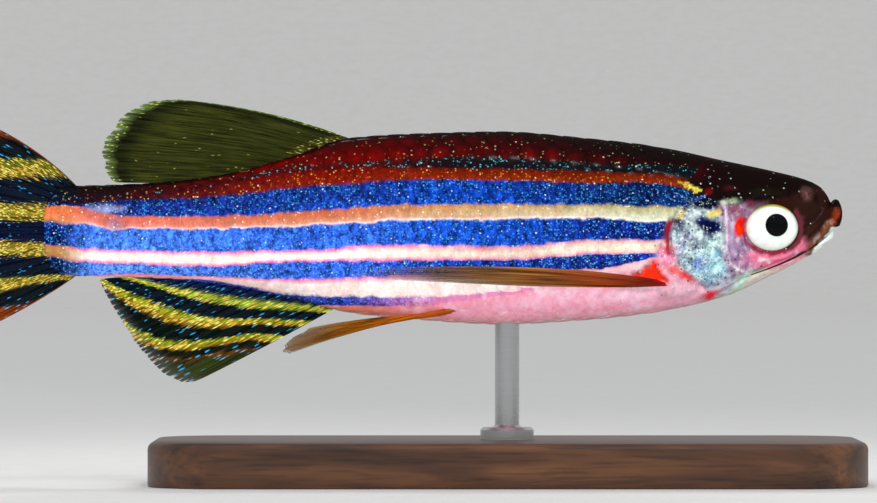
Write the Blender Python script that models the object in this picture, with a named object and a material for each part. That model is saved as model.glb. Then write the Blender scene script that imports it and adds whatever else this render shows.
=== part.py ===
"""A life-size zebra danio, a small striped aquarium fish, on a plain display stand.

The fish is drawn in millimetres on its own three measures: the distance behind the snout, the side
(positive to its left) and the height above its long axis. at() turns such a place into metres, with
the head towards +X, the left side towards +Y and +Z up. The origin is the middle of the stand's
underside.
"""

import math

import bmesh
import bpy
from mathutils import Matrix, Vector

MM = 0.001
GAP = 0.3
WELD = 1e-7
LEFT, RIGHT = 1, -1
SIDES = {"left": LEFT, "right": RIGHT}
FAR_SIDE = 5.0
BEYOND_SNOUT = 3.0

AXIS_HEIGHT = 11.5
ROD_DISTANCE = 15.0
ROUND_SEGMENTS = 32

# Distance behind the snout, then the height of the back, the height of the belly, half the width,
# and the height where the body is widest.
BODY = (
    (0.40, 0.95, 0.15, 0.18, 0.55),
    (0.60, 1.42, -0.45, 0.58, 0.35),
    (0.95, 1.85, -0.95, 0.88, 0.30),
    (1.60, 2.17, -1.35, 1.18, 0.25),
    (3.10, 2.56, -2.12, 1.60, 0.10),
    (5.30, 3.03, -3.10, 2.00, -0.10),
    (8.00, 3.60, -3.72, 2.25, -0.35),
    (11.5, 4.02, -4.12, 2.35, -0.45),
    (15.3, 4.31, -4.31, 2.30, -0.40),
    (19.0, 4.22, -4.10, 2.05, -0.30),
    (22.0, 4.03, -3.80, 1.75, -0.20),
    (24.8, 3.15, -3.10, 1.45, -0.10),
    (27.5, 2.42, -2.58, 1.15, -0.05),
    (30.6, 2.02, -2.24, 0.88, -0.10),
    (33.0, 1.91, -2.16, 0.68, -0.12),
    (35.2, 1.90, -2.16, 0.45, -0.13),
)
BACK, BELLY, HALF_WIDTH, WIDEST = 1, 2, 3, 4
SQUARENESS = 2.2
SNOUT_START, FLESH_END = BODY[0][0], BODY[-1][0]
HEAD_LENGTH = 9.0
TRUNK_START, TRUNK_END, TAIL_END = 5.0, 21.45, 30.6

# The gill opening in side view: height, then distance behind the snout.
GILL_OPENING = (
    (-5.5, 4.70),
    (-3.6, 5.30),
    (-2.8, 6.10),
    (-1.8, 7.28),
    (-0.9, 7.72),
    (0.0, 7.70),
    (0.8, 7.25),
    (3.0, 7.00),
    (5.5, 6.90),
)
# The gill cover in side view: distance behind the snout, then height.
GILL_COVER = (
    (5.35, 1.10),
    (6.40, 0.92),
    (7.15, 0.62),
    (7.60, -0.10),
    (7.62, -0.95),
    (7.20, -1.75),
    (6.45, -2.40),
    (5.75, -2.75),
    (5.20, -2.50),
    (4.95, -1.80),
    (5.15, -0.60),
)
OUTLINE_STEPS, OPENING_STEPS = 3, 44
COVER_RAISED, COVER_DEPTH = 0.15, 0.55
COVER_KEEL, POCKET_KEEL = 0.75, 0.45

MOUTH_CORNER = (1.62, -1.06)
JAW_BLOCK = ((-1.0, 1.05), MOUTH_CORNER, (2.60, -2.5), (-1.0, -2.5))
JAW_HALF_WIDTH = 1.15
MOUTH_SLIT = (GAP * 0.63, GAP * 0.78)
MOUTH_HALF_WIDTH = 0.78
UPPER_LIP = {"tip": (0.31, 0.62), "corner": (1.50, -0.74), "thick": (0.30, 0.20), "deep": (0.56, 0.22)}
LOWER_LIP = {"tip": (0.50, -0.44), "corner": (1.56, -1.28), "thick": (0.22, 0.18), "deep": (0.30, 0.20)}

EYE_CENTRE = (3.08, 1.20, 0.0)
EYE_RADII = (1.20, 0.72, 1.10)
EYE_TURN = math.radians(10)
PUPIL_RADIUS, PUPIL_RAISED = 0.50, 0.06
NOSTRILS = ((1.38, 1.50), (1.80, 1.42))
NOSTRIL_RADIUS = 0.19

# A barbel runs through three points: distance, height, and how far it stands off the skin.
SNOUT_BARBEL = ((0.85, 0.85, -0.20), (0.95, 0.55, 0.75), (1.70, -0.10, 0.55))
MOUTH_BARBEL = ((1.80, -0.70, -0.25), (2.35, -1.30, 0.65), (4.30, -2.05, 0.42))
BARBEL_RADII = (0.24, 0.07)

# Each fin's rays are counted from its leading edge, at share 0, to its trailing edge, at share 1.
# Tips and bows have that share, then distance, side and height. A bow moves the middle of a ray.
DORSAL_BASE = (22.1, 26.8)
DORSAL_TIPS = (
    (0.00, 30.1, 0.0, 5.80),
    (0.15, 31.5, 0.0, 5.45),
    (0.30, 32.3, 0.0, 4.95),
    (0.50, 33.0, 0.0, 4.10),
    (0.70, 33.2, 0.0, 3.40),
    (0.85, 33.1, 0.0, 2.85),
    (1.00, 32.7, 0.0, 2.28),
)
DORSAL_BOWS = ((0.0, -0.3, 0.0, 0.45), (1.0, 0.0, 0.0, 0.0))
ANAL_BASE = (22.4, 30.1)
ANAL_TIPS = (
    (0.00, 29.0, 0.0, -6.92),
    (0.08, 29.7, 0.0, -6.98),
    (0.20, 30.6, 0.0, -6.50),
    (0.35, 31.3, 0.0, -5.80),
    (0.55, 31.9, 0.0, -4.95),
    (0.75, 32.5, 0.0, -4.00),
    (0.90, 33.0, 0.0, -3.05),
    (1.00, 33.3, 0.0, -2.48),
)
ANAL_BOWS = ((0.0, 0.0, 0.0, -0.12), (0.3, 0.1, 0.0, 0.20), (1.0, 0.0, 0.0, 0.0))
TAIL_MIDDLE = -0.13
TAIL_ROOT_HALF_HEIGHT = 2.05
UPPER_LOBE_TIPS = (
    (0.00, 43.0, 0.0, 6.15),
    (0.12, 42.9, 0.0, 5.45),
    (0.30, 41.9, 0.0, 4.10),
    (0.55, 40.6, 0.0, 2.35),
    (0.80, 39.8, 0.0, 0.90),
    (1.00, 39.6, 0.0, 0.02),
)
UPPER_LOBE_BOWS = ((0.0, -1.2, 0.0, 1.10), (0.4, -0.4, 0.0, 0.35), (1.0, 0.0, 0.0, 0.0))
LOWER_LOBE_TIPS = (
    (0.00, 43.0, 0.0, -6.40),
    (0.12, 42.9, 0.0, -5.70),
    (0.30, 41.9, 0.0, -4.35),
    (0.55, 40.6, 0.0, -2.60),
    (0.80, 39.8, 0.0, -1.15),
    (1.00, 39.6, 0.0, -0.28),
)
LOWER_LOBE_BOWS = ((0.0, -1.1, 0.0, -0.20), (0.4, -0.4, 0.0, -0.10), (1.0, 0.0, 0.0, 0.0))
PECTORAL_BASE = ((8.35, -1.65), (8.80, -2.50))
PECTORAL_TIPS = (
    (0.00, 20.6, 6.55, -1.90),
    (0.15, 21.6, 6.10, -1.92),
    (0.35, 21.2, 5.30, -1.96),
    (0.60, 19.4, 4.40, -2.02),
    (0.80, 17.2, 3.80, -2.08),
    (1.00, 14.8, 3.30, -2.12),
)
PECTORAL_BOWS = ((0.0, -1.5, 1.10, 0.00), (1.0, -0.4, 0.25, 0.10))
PELVIC_BASE = ((16.9, 1.45), (17.4, 0.75))
PELVIC_TIPS = (
    (0.00, 24.8, 3.10, -5.50),
    (0.30, 25.2, 2.60, -5.60),
    (0.65, 24.2, 1.90, -5.25),
    (1.00, 22.6, 1.25, -4.80),
)
PELVIC_BOWS = ((0.0, 0.3, 0.45, 0.70), (1.0, 0.2, 0.05, 0.20))

MEMBRANE, RAY_RIDGE = 0.50, 0.24
RIDGE_STEEPNESS = 1.2
TIP_SHARE = 0.5
RIDGE_PATTERN = (0, 1, 1)

BASE_SIZE = (32.0, 14.0, 2.0)
BASE_CORNER, BASE_CHAMFER = 3.5, 0.35
ROD_DIAMETER = 1.1

# Base colour, roughness and metallic value.
LOOKS = {
    "back_and_flank": ((0.05, 0.13, 0.62), 0.30, 0.0),
    "head_skin": ((0.12, 0.06, 0.05), 0.35, 0.0),
    "gill_silver": ((0.66, 0.72, 0.74), 0.25, 0.4),
    "eye_white": ((0.92, 0.94, 0.90), 0.12, 0.0),
    "clear_fin": ((0.24, 0.25, 0.10), 0.40, 0.0),
    "striped_fin": ((0.55, 0.50, 0.12), 0.40, 0.0),
    "brown_fin": ((0.42, 0.20, 0.08), 0.40, 0.0),
    "stand_wood": ((0.10, 0.06, 0.04), 0.45, 0.0),
    "stand_steel": ((0.62, 0.62, 0.63), 0.28, 1.0),
}


def at(distance, side, height):
    """The place in metres of a point given in the fish's own measures."""
    return Vector((ROD_DISTANCE - distance, side, AXIS_HEIGHT + height)) * MM


def smooth(points, position):
    """The value at position on the curve through (position, value) points, with no overshoot."""
    if position <= points[0][0]:
        return points[0][1]
    if position >= points[-1][0]:
        return points[-1][1]
    slopes = [(b[1] - a[1]) / (b[0] - a[0]) for a, b in zip(points, points[1:])]
    tangents = [slopes[0]]
    for before, after in zip(slopes, slopes[1:]):
        same_way = before * after > 0
        tangents.append(2 * before * after / (before + after) if same_way else 0.0)
    tangents.append(slopes[-1])
    i = max(k for k, point in enumerate(points[:-1]) if point[0] <= position)
    (left, low), (right, high) = points[i], points[i + 1]
    width = right - left
    t = (position - left) / width
    return (
        low * (1 + 2 * t) * (1 - t) ** 2
        + tangents[i] * width * t * (1 - t) ** 2
        + high * t * t * (3 - 2 * t)
        + tangents[i + 1] * width * t * t * (t - 1)
    )


def smooth_point(table, share):
    """The (distance, side, height) at that share of a fin's table."""
    return Vector([smooth([(row[0], row[k]) for row in table], share) for k in (1, 2, 3)])


def body(column, distance):
    return smooth([(row[0], row[column]) for row in BODY], distance)


def side_at(distance, height):
    """Half the body's width at that distance and height."""
    middle = body(WIDEST, distance)
    reach = body(BACK, distance) - middle if height > middle else middle - body(BELLY, distance)
    share = min(1.0, abs(height - middle) / reach)
    return body(HALF_WIDTH, distance) * (1 - share**SQUARENESS) ** (1 / SQUARENESS)


def belly_at(distance, side):
    """The height of the body's underside at that distance and side."""
    middle = body(WIDEST, distance)
    share = min(1.0, abs(side) / body(HALF_WIDTH, distance))
    return middle - (middle - body(BELLY, distance)) * (1 - share**SQUARENESS) ** (1 / SQUARENESS)


def new_object(name, bm, sharp_angle=40):
    """Makes the object of a mesh, with its round faces shaded smooth."""
    bmesh.ops.recalc_face_normals(bm, faces=bm.faces)
    if bm.calc_volume(signed=True) < 0:
        bmesh.ops.reverse_faces(bm, faces=bm.faces)
    mesh = bpy.data.meshes.new(name)
    bm.to_mesh(mesh)
    bm.free()
    mesh.shade_smooth()
    mesh.set_sharp_from_angle(angle=math.radians(sharp_angle))
    made = bpy.data.objects.new(name, mesh)
    bpy.context.scene.collection.objects.link(made)
    return made


def tube(name, rows, around, place):
    """A closed body from a grid rolled into a tube; place(share, angle) gives each of its points."""
    bm = bmesh.new()
    bmesh.ops.create_grid(bm, x_segments=rows, y_segments=around, size=0.5)
    for vert in bm.verts:
        vert.co = at(*place(vert.co.x + 0.5, (vert.co.y + 0.5) * math.tau))
    bmesh.ops.remove_doubles(bm, verts=bm.verts, dist=WELD)
    bmesh.ops.holes_fill(bm, edges=[edge for edge in bm.edges if edge.is_boundary])
    bmesh.ops.triangulate(bm, faces=[face for face in bm.faces if len(face.verts) > 4])
    return new_object(name, bm)


def body_length(name, first, last, rows, swell=0.0):
    """The body between two distances, swollen or shrunk by that depth of skin."""

    def place(share, angle):
        distance = first + (last - first) * share
        middle = body(WIDEST, distance)
        up, across = math.sin(angle), math.cos(angle)
        reach = body(BACK, distance) - middle if up > 0 else middle - body(BELLY, distance)
        power = 2 / SQUARENESS
        height = middle + (reach + swell) * math.copysign(abs(up) ** power, up)
        half_width = body(HALF_WIDTH, distance) + swell
        return distance, half_width * math.copysign(abs(across) ** power, across), height

    return tube(name, rows, ROUND_SEGMENTS, place)


def block(name, outline, near, far):
    """A straight block with that outline of (distance, height) points, from one side to another."""
    bm = bmesh.new()
    face = bm.faces.new([bm.verts.new(at(distance, near, height)) for distance, height in outline])
    made = bmesh.ops.extrude_face_region(bm, geom=[face], use_keep_orig=True)["geom"]
    moved = [item for item in made if isinstance(item, bmesh.types.BMVert)]
    bmesh.ops.translate(bm, verts=moved, vec=(0, (far - near) * MM, 0))
    return new_object(name, bm)


def ellipsoid(name, centre, radii, turn=0.0, around=24):
    """An ellipsoid with its poles to the left and right, turned about the vertical."""
    bm = bmesh.new()
    bmesh.ops.create_uvsphere(bm, u_segments=around, v_segments=around // 2, radius=MM)
    bmesh.ops.rotate(bm, verts=bm.verts, matrix=Matrix.Rotation(math.pi / 2, 3, "X"))
    bmesh.ops.scale(bm, verts=bm.verts, vec=radii)
    bmesh.ops.rotate(bm, verts=bm.verts, matrix=Matrix.Rotation(turn, 3, "Z"))
    bmesh.ops.translate(bm, verts=bm.verts, vec=at(*centre))
    return new_object(name, bm)


def rounded_outline(corners):
    """A closed smooth outline through the corners."""
    outline = []
    for i in range(len(corners)):
        before, start, end, after = (Vector(corners[(i + k) % len(corners)]) for k in (-1, 0, 1, 2))
        for step in range(OUTLINE_STEPS):
            t = step / OUTLINE_STEPS
            bend = (2 * before - 5 * start + 4 * end - after) * t * t
            twist = (3 * start - before - 3 * end + after) * t**3
            outline.append(start + ((end - before) * t + bend + twist) / 2)
    return outline


def moved_out(outline, away, closed=True):
    """An outline moved by that much to the left of its own run, as a wall's thickness is."""
    last = len(outline) - 1
    moved = []
    for i, point in enumerate(outline):
        before = outline[i - 1 if closed or i else 0]
        after = outline[(i + 1) % len(outline) if closed else min(i + 1, last)]
        run = (after - before).normalized()
        moved.append(point + Vector((-run.y, run.x)) * away)
    return moved


def combine(target, operation, *pieces):
    """Applies one Boolean between the target and the pieces, and removes the pieces."""
    group = bpy.data.collections.new("pieces")
    for piece in pieces:
        group.objects.link(piece)
    modifier = target.modifiers.new(operation.title(), "BOOLEAN")
    modifier.operation = operation
    modifier.solver = "EXACT"
    modifier.operand_type = "COLLECTION"
    modifier.collection = group
    graph = bpy.context.evaluated_depsgraph_get()
    target.data = bpy.data.meshes.new_from_object(target.evaluated_get(graph))
    target.modifiers.clear()
    for piece in pieces:
        bpy.data.objects.remove(piece)
    bpy.data.collections.remove(group)
    return target


def keep_largest(target):
    """Keeps only the largest closed surface of a mesh."""
    bm = bmesh.new()
    bm.from_mesh(target.data)
    left, surfaces = set(bm.verts), []
    while left:
        surface, edge_of = set(), [left.pop()]
        while edge_of:
            vert = edge_of.pop()
            surface.add(vert)
            linked = {edge.other_vert(vert) for edge in vert.link_edges} & left
            left -= linked
            edge_of.extend(linked)
        surfaces.append(surface)
    surfaces.sort(key=len)
    loose = [vert for surface in surfaces[:-1] for vert in surface]
    bmesh.ops.delete(bm, geom=loose, context="VERTS")
    bm.to_mesh(target.data)
    bm.free()
    return target


def sweep(name, path, radii, around=12, rows=14):
    """A round rod along path(share), with radii(share) giving its half thickness and half depth."""

    def place(share, angle):
        point = Vector(path(share))
        ahead = Vector(path(min(1.0, share + 0.01))) - Vector(path(max(0.0, share - 0.01)))
        thick = ahead.cross(Vector((0, 0, 1))).normalized()
        deep = thick.cross(ahead).normalized()
        half_thick, half_deep = radii(share)
        return point + thick * half_thick * math.cos(angle) + deep * half_deep * math.sin(angle)

    return tube(name, rows, around, place)


def lip(name, tip, corner, thick, deep):
    """A lip from the right corner of the mouth round its tip to the left corner."""

    def path(share):
        turn = math.pi * share
        forward = math.sin(turn) ** 0.8
        distance = corner[0] + (tip[0] - corner[0]) * forward
        height = corner[1] + (tip[1] - corner[1]) * forward
        return distance, -MOUTH_HALF_WIDTH * math.cos(turn), height

    def radii(share):
        middle = math.sin(math.pi * share) ** 2
        return [ends + (tips - ends) * middle for tips, ends in (thick, deep)]

    return sweep(name, path, radii)


def barbel(name, points, side):
    """A feeler that leaves the skin, bends and tapers to its tip."""
    root, middle, tip = (
        Vector((distance, side * (side_at(distance, height) + clear), height))
        for distance, height, clear in points
    )

    def path(share):
        return root * (1 - share) ** 2 + middle * 2 * share * (1 - share) + tip * share**2

    def radii(share):
        radius = BARBEL_RADII[0] + (BARBEL_RADII[1] - BARBEL_RADII[0]) * share
        return radius, radius

    return sweep(name, path, radii, around=8, rows=8)


def in_front_of_gills(name, shift=0.0):
    """A block that covers all of the fish in front of the gill opening, moved back by shift."""
    low, high = GILL_OPENING[0][0], GILL_OPENING[-1][0]
    heights = [low + (high - low) * i / OPENING_STEPS for i in range(OPENING_STEPS + 1)]
    edge = [Vector((smooth(GILL_OPENING, height), height)) for height in heights]
    curve = moved_out(edge, -shift, closed=False)
    return block(name, [(-BEYOND_SNOUT, low), *curve, (-BEYOND_SNOUT, high)], -FAR_SIDE, FAR_SIDE)


def gill_cover(name, side):
    """A curved plate that follows the head's side and stands a little proud of it."""
    outline = rounded_outline(GILL_COVER)
    plate = block(name, outline, side * COVER_KEEL, side * FAR_SIDE)
    outside = body_length("outside", SNOUT_START, HEAD_LENGTH, 26, COVER_RAISED)
    inside = body_length("inside", SNOUT_START, HEAD_LENGTH, 26, -COVER_DEPTH)
    combine(plate, "INTERSECT", outside)
    combine(plate, "DIFFERENCE", inside)
    return keep_largest(plate)


def gill_pocket(side):
    """The hollow of the head that a gill cover lies in, a gap wider than the cover all round."""
    outline = moved_out(rounded_outline(GILL_COVER), GAP)
    pocket = block("pocket", outline, side * POCKET_KEEL, side * FAR_SIDE)
    core = body_length("core", SNOUT_START, HEAD_LENGTH, 26, -COVER_DEPTH - GAP)
    return combine(pocket, "DIFFERENCE", core)


def eye_shape(name, side, grown=0.0):
    distance, out, height = EYE_CENTRE
    radii = [radius + grown for radius in EYE_RADII]
    return ellipsoid(name, (distance, side * out, height), radii, -side * EYE_TURN)


def eye(name, side):
    """The eyeball with a slightly raised pupil."""
    distance, out, height = EYE_CENTRE
    forward, outwards = math.sin(EYE_TURN), math.cos(EYE_TURN)
    to_front = EYE_RADII[1] + PUPIL_RAISED - PUPIL_RADIUS / 2
    centre = (distance - forward * to_front, side * (out + outwards * to_front), height)
    radii = (PUPIL_RADIUS, PUPIL_RADIUS / 2, PUPIL_RADIUS)
    pupil = ellipsoid("pupil", centre, radii, -side * EYE_TURN, around=16)
    return keep_largest(combine(eye_shape(name, side), "UNION", pupil))


def head_and_jaw():
    """The head and the lower jaw, parted by the line of the mouth."""
    head = body_length("head", SNOUT_START, HEAD_LENGTH, 26)
    pieces = [lip("upper_lip", **UPPER_LIP), lip("lower_lip", **LOWER_LIP)]
    for side in SIDES.values():
        pieces.append(barbel("snout_barbel", SNOUT_BARBEL, side))
        pieces.append(barbel("mouth_barbel", MOUTH_BARBEL, side))
    combine(head, "UNION", *pieces)
    combine(head, "INTERSECT", in_front_of_gills("front"))
    jaw = bpy.data.objects.new("lower_jaw", head.data.copy())
    bpy.context.scene.collection.objects.link(jaw)
    combine(jaw, "INTERSECT", block("jaw_block", JAW_BLOCK, -JAW_HALF_WIDTH, JAW_HALF_WIDTH))
    moved = [(distance + MOUTH_SLIT[0], height + MOUTH_SLIT[1]) for distance, height in JAW_BLOCK]
    width = JAW_HALF_WIDTH + GAP
    cutters = [block("mouth_slit", moved, -width, width)]
    for side in SIDES.values():
        cutters += [eye_shape("socket", side, GAP), gill_pocket(side)]
        for distance, height in NOSTRILS:
            centre = (distance, side * side_at(distance, height), height)
            cutters.append(ellipsoid("nostril", centre, [NOSTRIL_RADIUS] * 3, around=12))
    for cutter in cutters:
        combine(head, "DIFFERENCE", cutter)
    return keep_largest(head), keep_largest(jaw)


def trunk():
    made = body_length("trunk", TRUNK_START, TRUNK_END, 20)
    return keep_largest(combine(made, "DIFFERENCE", in_front_of_gills("front", GAP)))


def fin(name, rays, rows, root, tips, bows, side=LEFT):
    """A membrane with a raised ridge along each ray, thinner towards its outer edge."""

    def middle_layer(across, along):
        start, end = Vector(root(across)), smooth_point(tips, across)
        bend = (start + end) / 2 + smooth_point(bows, across)
        point = start * (1 - along) ** 2 + bend * 2 * along * (1 - along) + end * along**2
        return Vector((point.x, side * point.y, point.z))

    columns = rays * len(RIDGE_PATTERN)
    step = 1 / columns

    def slopes(across, along):
        """How far the layer runs from one column to the next, and that far along its ray."""
        before, after = max(0.0, across - step), min(1.0, across + step)
        sideways = middle_layer(after, along) - middle_layer(before, along)
        low, high = max(0.0, along - step), min(1.0, along + step)
        outwards = middle_layer(across, high) - middle_layer(across, low)
        return sideways * step / (after - before), outwards * step / (high - low)

    def half_thickness(across, along, spacing):
        ridge = RIDGE_PATTERN[round(across * columns) % len(RIDGE_PATTERN)]
        ridge *= min(RAY_RIDGE, RIDGE_STEEPNESS * spacing)
        return (MEMBRANE + ridge) / 2 * (1 - (1 - TIP_SHARE) * along**3)

    bm = bmesh.new()
    bmesh.ops.create_grid(bm, x_segments=columns, y_segments=rows, size=0.5)
    bmesh.ops.triangulate(bm, faces=bm.faces, quad_method="FIXED")
    first_face = set(bm.verts)
    bmesh.ops.extrude_face_region(bm, geom=bm.faces[:], use_keep_orig=True)
    for vert in bm.verts:
        across, along = vert.co.x + 0.5, vert.co.y + 0.5
        sideways, outwards = slopes(across, along)
        offset = sideways.cross(outwards).normalized() * half_thickness(across, along, sideways.length)
        vert.co = at(*(middle_layer(across, along) + offset * (1 if vert in first_face else -1)))
    return new_object(name, bm, sharp_angle=60)


def fins():
    """The single fins stand on the middle of the body, and the paired ones on its sides."""

    def on_back(share):
        distance = DORSAL_BASE[0] + (DORSAL_BASE[1] - DORSAL_BASE[0]) * share
        return distance, 0, body(BACK, distance) + GAP

    def on_belly(share):
        distance = ANAL_BASE[0] + (ANAL_BASE[1] - ANAL_BASE[0]) * share
        return distance, 0, body(BELLY, distance) - GAP

    def lobe_root(direction):
        inner = TAIL_MIDDLE + direction * GAP / 2
        outer = TAIL_MIDDLE + direction * TAIL_ROOT_HALF_HEIGHT
        return lambda share: (FLESH_END + GAP, 0, outer + (inner - outer) * share)

    def behind_gills(share):
        (first, low), (last, high) = PECTORAL_BASE
        distance, height = first + (last - first) * share, low + (high - low) * share
        return distance, side_at(distance, height) + GAP + MEMBRANE / 2, height

    def under_belly(share):
        (first, outer), (last, inner) = PELVIC_BASE
        distance, side = first + (last - first) * share, outer + (inner - outer) * share
        slope = (belly_at(distance, side + WELD) - belly_at(distance, side)) / WELD
        away = Vector((0, slope, -1)).normalized() * (GAP + MEMBRANE / 2)
        return Vector((distance, side, belly_at(distance, side))) + away

    made = {
        "fin_dorsal": fin("fin_dorsal", 9, 6, on_back, DORSAL_TIPS, DORSAL_BOWS),
        "fin_anal": fin("fin_anal", 14, 6, on_belly, ANAL_TIPS, ANAL_BOWS),
        "fin_tail_upper": fin("fin_tail_upper", 9, 7, lobe_root(1), UPPER_LOBE_TIPS, UPPER_LOBE_BOWS),
        "fin_tail_lower": fin("fin_tail_lower", 9, 7, lobe_root(-1), LOWER_LOBE_TIPS, LOWER_LOBE_BOWS),
    }
    for word, side in SIDES.items():
        name = f"fin_pectoral_{word}"
        made[name] = fin(name, 9, 8, behind_gills, PECTORAL_TIPS, PECTORAL_BOWS, side)
        name = f"fin_pelvic_{word}"
        made[name] = fin(name, 7, 6, under_belly, PELVIC_TIPS, PELVIC_BOWS, side)
    return made


def stand():
    """A flat base with rounded corners, and a rod up to the belly."""
    bm = bmesh.new()
    bmesh.ops.create_cube(bm, size=MM)
    bmesh.ops.scale(bm, verts=bm.verts, vec=BASE_SIZE)
    bmesh.ops.translate(bm, verts=bm.verts, vec=(0, 0, BASE_SIZE[2] * MM / 2))
    upright = [edge for edge in bm.edges if abs(edge.verts[0].co.z - edge.verts[1].co.z) > WELD]
    bmesh.ops.bevel(
        bm, geom=upright, offset=BASE_CORNER * MM, affect="EDGES", segments=6, profile=0.5, material=-1
    )
    rim = [edge for edge in bm.edges if min(v.co.z for v in edge.verts) > BASE_SIZE[2] * MM - WELD]
    bmesh.ops.bevel(
        bm, geom=rim, offset=BASE_CHAMFER * MM, affect="EDGES", segments=2, profile=0.5, material=-1
    )
    base = new_object("stand_base", bm)
    foot = BASE_SIZE[2] + GAP
    top = AXIS_HEIGHT + belly_at(ROD_DISTANCE, 0) - GAP
    bm = bmesh.new()
    bmesh.ops.create_cone(
        bm,
        cap_ends=True,
        segments=16,
        radius1=ROD_DIAMETER / 2 * MM,
        radius2=ROD_DIAMETER / 2 * MM,
        depth=(top - foot) * MM,
    )
    bmesh.ops.translate(bm, verts=bm.verts, vec=(0, 0, (top + foot) / 2 * MM))
    return base, new_object("stand_rod", bm)


def paint(look, *nodes):
    colour, roughness, metallic = LOOKS[look]
    material = bpy.data.materials.new(look)
    material.use_nodes = True
    shader = material.node_tree.nodes["Principled BSDF"]
    shader.inputs["Base Color"].default_value = (*colour, 1.0)
    shader.inputs["Roughness"].default_value = roughness
    shader.inputs["Metallic"].default_value = metallic
    for node in nodes:
        node.data.materials.clear()
        node.data.materials.append(material)


def build():
    for leftover in list(bpy.data.objects):
        bpy.data.objects.remove(leftover)
    head, jaw = head_and_jaw()
    tail = body_length("tail", TRUNK_END + GAP, TAIL_END - GAP, 10)
    stalk = body_length("tail_stalk", TAIL_END, FLESH_END, 5)
    covers = [gill_cover(f"gill_cover_{word}", side) for word, side in SIDES.items()]
    eyes = [eye(f"eye_{word}", side) for word, side in SIDES.items()]
    fin_of = fins()
    base, rod = stand()
    paint("head_skin", head, jaw)
    paint("back_and_flank", trunk(), tail, stalk)
    paint("gill_silver", *covers)
    paint("eye_white", *eyes)
    paint("clear_fin", fin_of["fin_dorsal"])
    paint("striped_fin", fin_of["fin_anal"], fin_of["fin_tail_upper"], fin_of["fin_tail_lower"])
    paint("brown_fin", *(made for name, made in fin_of.items() if "pectoral" in name or "pelvic" in name))
    paint("stand_wood", base)
    paint("stand_steel", rod)


build()
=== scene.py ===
"""The looks of a life-size zebra danio on its display stand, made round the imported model.

The fish is drawn in millimetres on its own three measures: the distance behind the snout, the side
(positive to its left) and the height above its long axis. at() turns such a place into metres.
"""

import functools
import math
import random

import bmesh
import bpy
from mathutils import Matrix, Vector
from mathutils import noise as noise_at


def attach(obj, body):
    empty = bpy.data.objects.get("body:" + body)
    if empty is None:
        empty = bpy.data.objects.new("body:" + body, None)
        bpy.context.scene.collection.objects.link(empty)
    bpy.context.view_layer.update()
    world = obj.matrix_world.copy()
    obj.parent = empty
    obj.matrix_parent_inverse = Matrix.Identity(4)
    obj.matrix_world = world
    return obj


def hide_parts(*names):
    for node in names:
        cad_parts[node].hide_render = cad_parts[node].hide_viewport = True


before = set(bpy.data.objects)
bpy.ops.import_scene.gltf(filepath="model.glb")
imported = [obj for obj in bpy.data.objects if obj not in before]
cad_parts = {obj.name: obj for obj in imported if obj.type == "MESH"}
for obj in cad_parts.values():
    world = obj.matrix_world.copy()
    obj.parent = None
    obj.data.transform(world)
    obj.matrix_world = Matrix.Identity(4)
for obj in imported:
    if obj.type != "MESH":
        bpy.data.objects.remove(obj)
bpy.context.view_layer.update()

MM = 0.001
WELD = 1e-7
LEFT, RIGHT = 1, -1
SIDES = {"left": LEFT, "right": RIGHT}
SEED = 7

AXIS_HEIGHT = 11.5
ROD_DISTANCE = 15.0

# Distance behind the snout, then the height of the back, the height of the belly, half the width,
# and the height where the body is widest. The last rows round the flesh off between the rays of the tail.
BODY = (
    (0.40, 0.95, 0.15, 0.18, 0.55),
    (0.60, 1.42, -0.45, 0.58, 0.35),
    (0.95, 1.85, -0.95, 0.88, 0.30),
    (1.60, 2.17, -1.35, 1.18, 0.25),
    (3.10, 2.56, -2.12, 1.60, 0.10),
    (5.30, 3.03, -3.10, 2.00, -0.10),
    (8.00, 3.60, -3.72, 2.25, -0.35),
    (11.5, 4.02, -4.12, 2.35, -0.45),
    (15.3, 4.31, -4.31, 2.30, -0.40),
    (19.0, 4.22, -4.10, 2.05, -0.30),
    (22.0, 4.03, -3.80, 1.75, -0.20),
    (24.8, 3.15, -3.10, 1.45, -0.10),
    (27.5, 2.42, -2.58, 1.15, -0.05),
    (30.6, 2.02, -2.24, 0.88, -0.10),
    (33.0, 1.91, -2.16, 0.68, -0.12),
    (34.9, 1.86, -2.13, 0.42, -0.13),
    (35.4, 1.62, -1.88, 0.33, -0.13),
    (35.8, 0.95, -1.20, 0.12, -0.13),
)
BACK, BELLY, HALF_WIDTH, WIDEST = 1, 2, 3, 4
SQUARENESS = 2.2
SNOUT_START, TAIL_ROOT, SKIN_END = BODY[0][0], 34.3, BODY[-1][0]
HEAD_END = 9.0
SKIN_ROWS, SKIN_AROUND = 300, 200
HEAD_ROWS_SHARE, SNOUT_CROWDING = 0.52, 1.25

# The gill opening in side view: height, then distance behind the snout.
GILL_OPENING = (
    (-5.5, 4.70),
    (-3.6, 5.30),
    (-2.8, 6.10),
    (-1.8, 7.28),
    (-0.9, 7.72),
    (0.0, 7.70),
    (0.8, 7.25),
    (3.0, 7.00),
    (5.5, 6.90),
)
# Where the head's colours end and the stripes begin, in the same way.
COLOURS_MEET = (
    (-5.5, 4.70),
    (-3.6, 5.35),
    (-2.8, 6.15),
    (-1.8, 7.30),
    (-0.9, 7.74),
    (0.0, 7.72),
    (0.7, 7.10),
    (1.2, 6.60),
    (1.6, 6.75),
    (2.1, 7.00),
    (2.6, 6.50),
    (3.2, 6.10),
    (5.5, 6.00),
)
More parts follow.
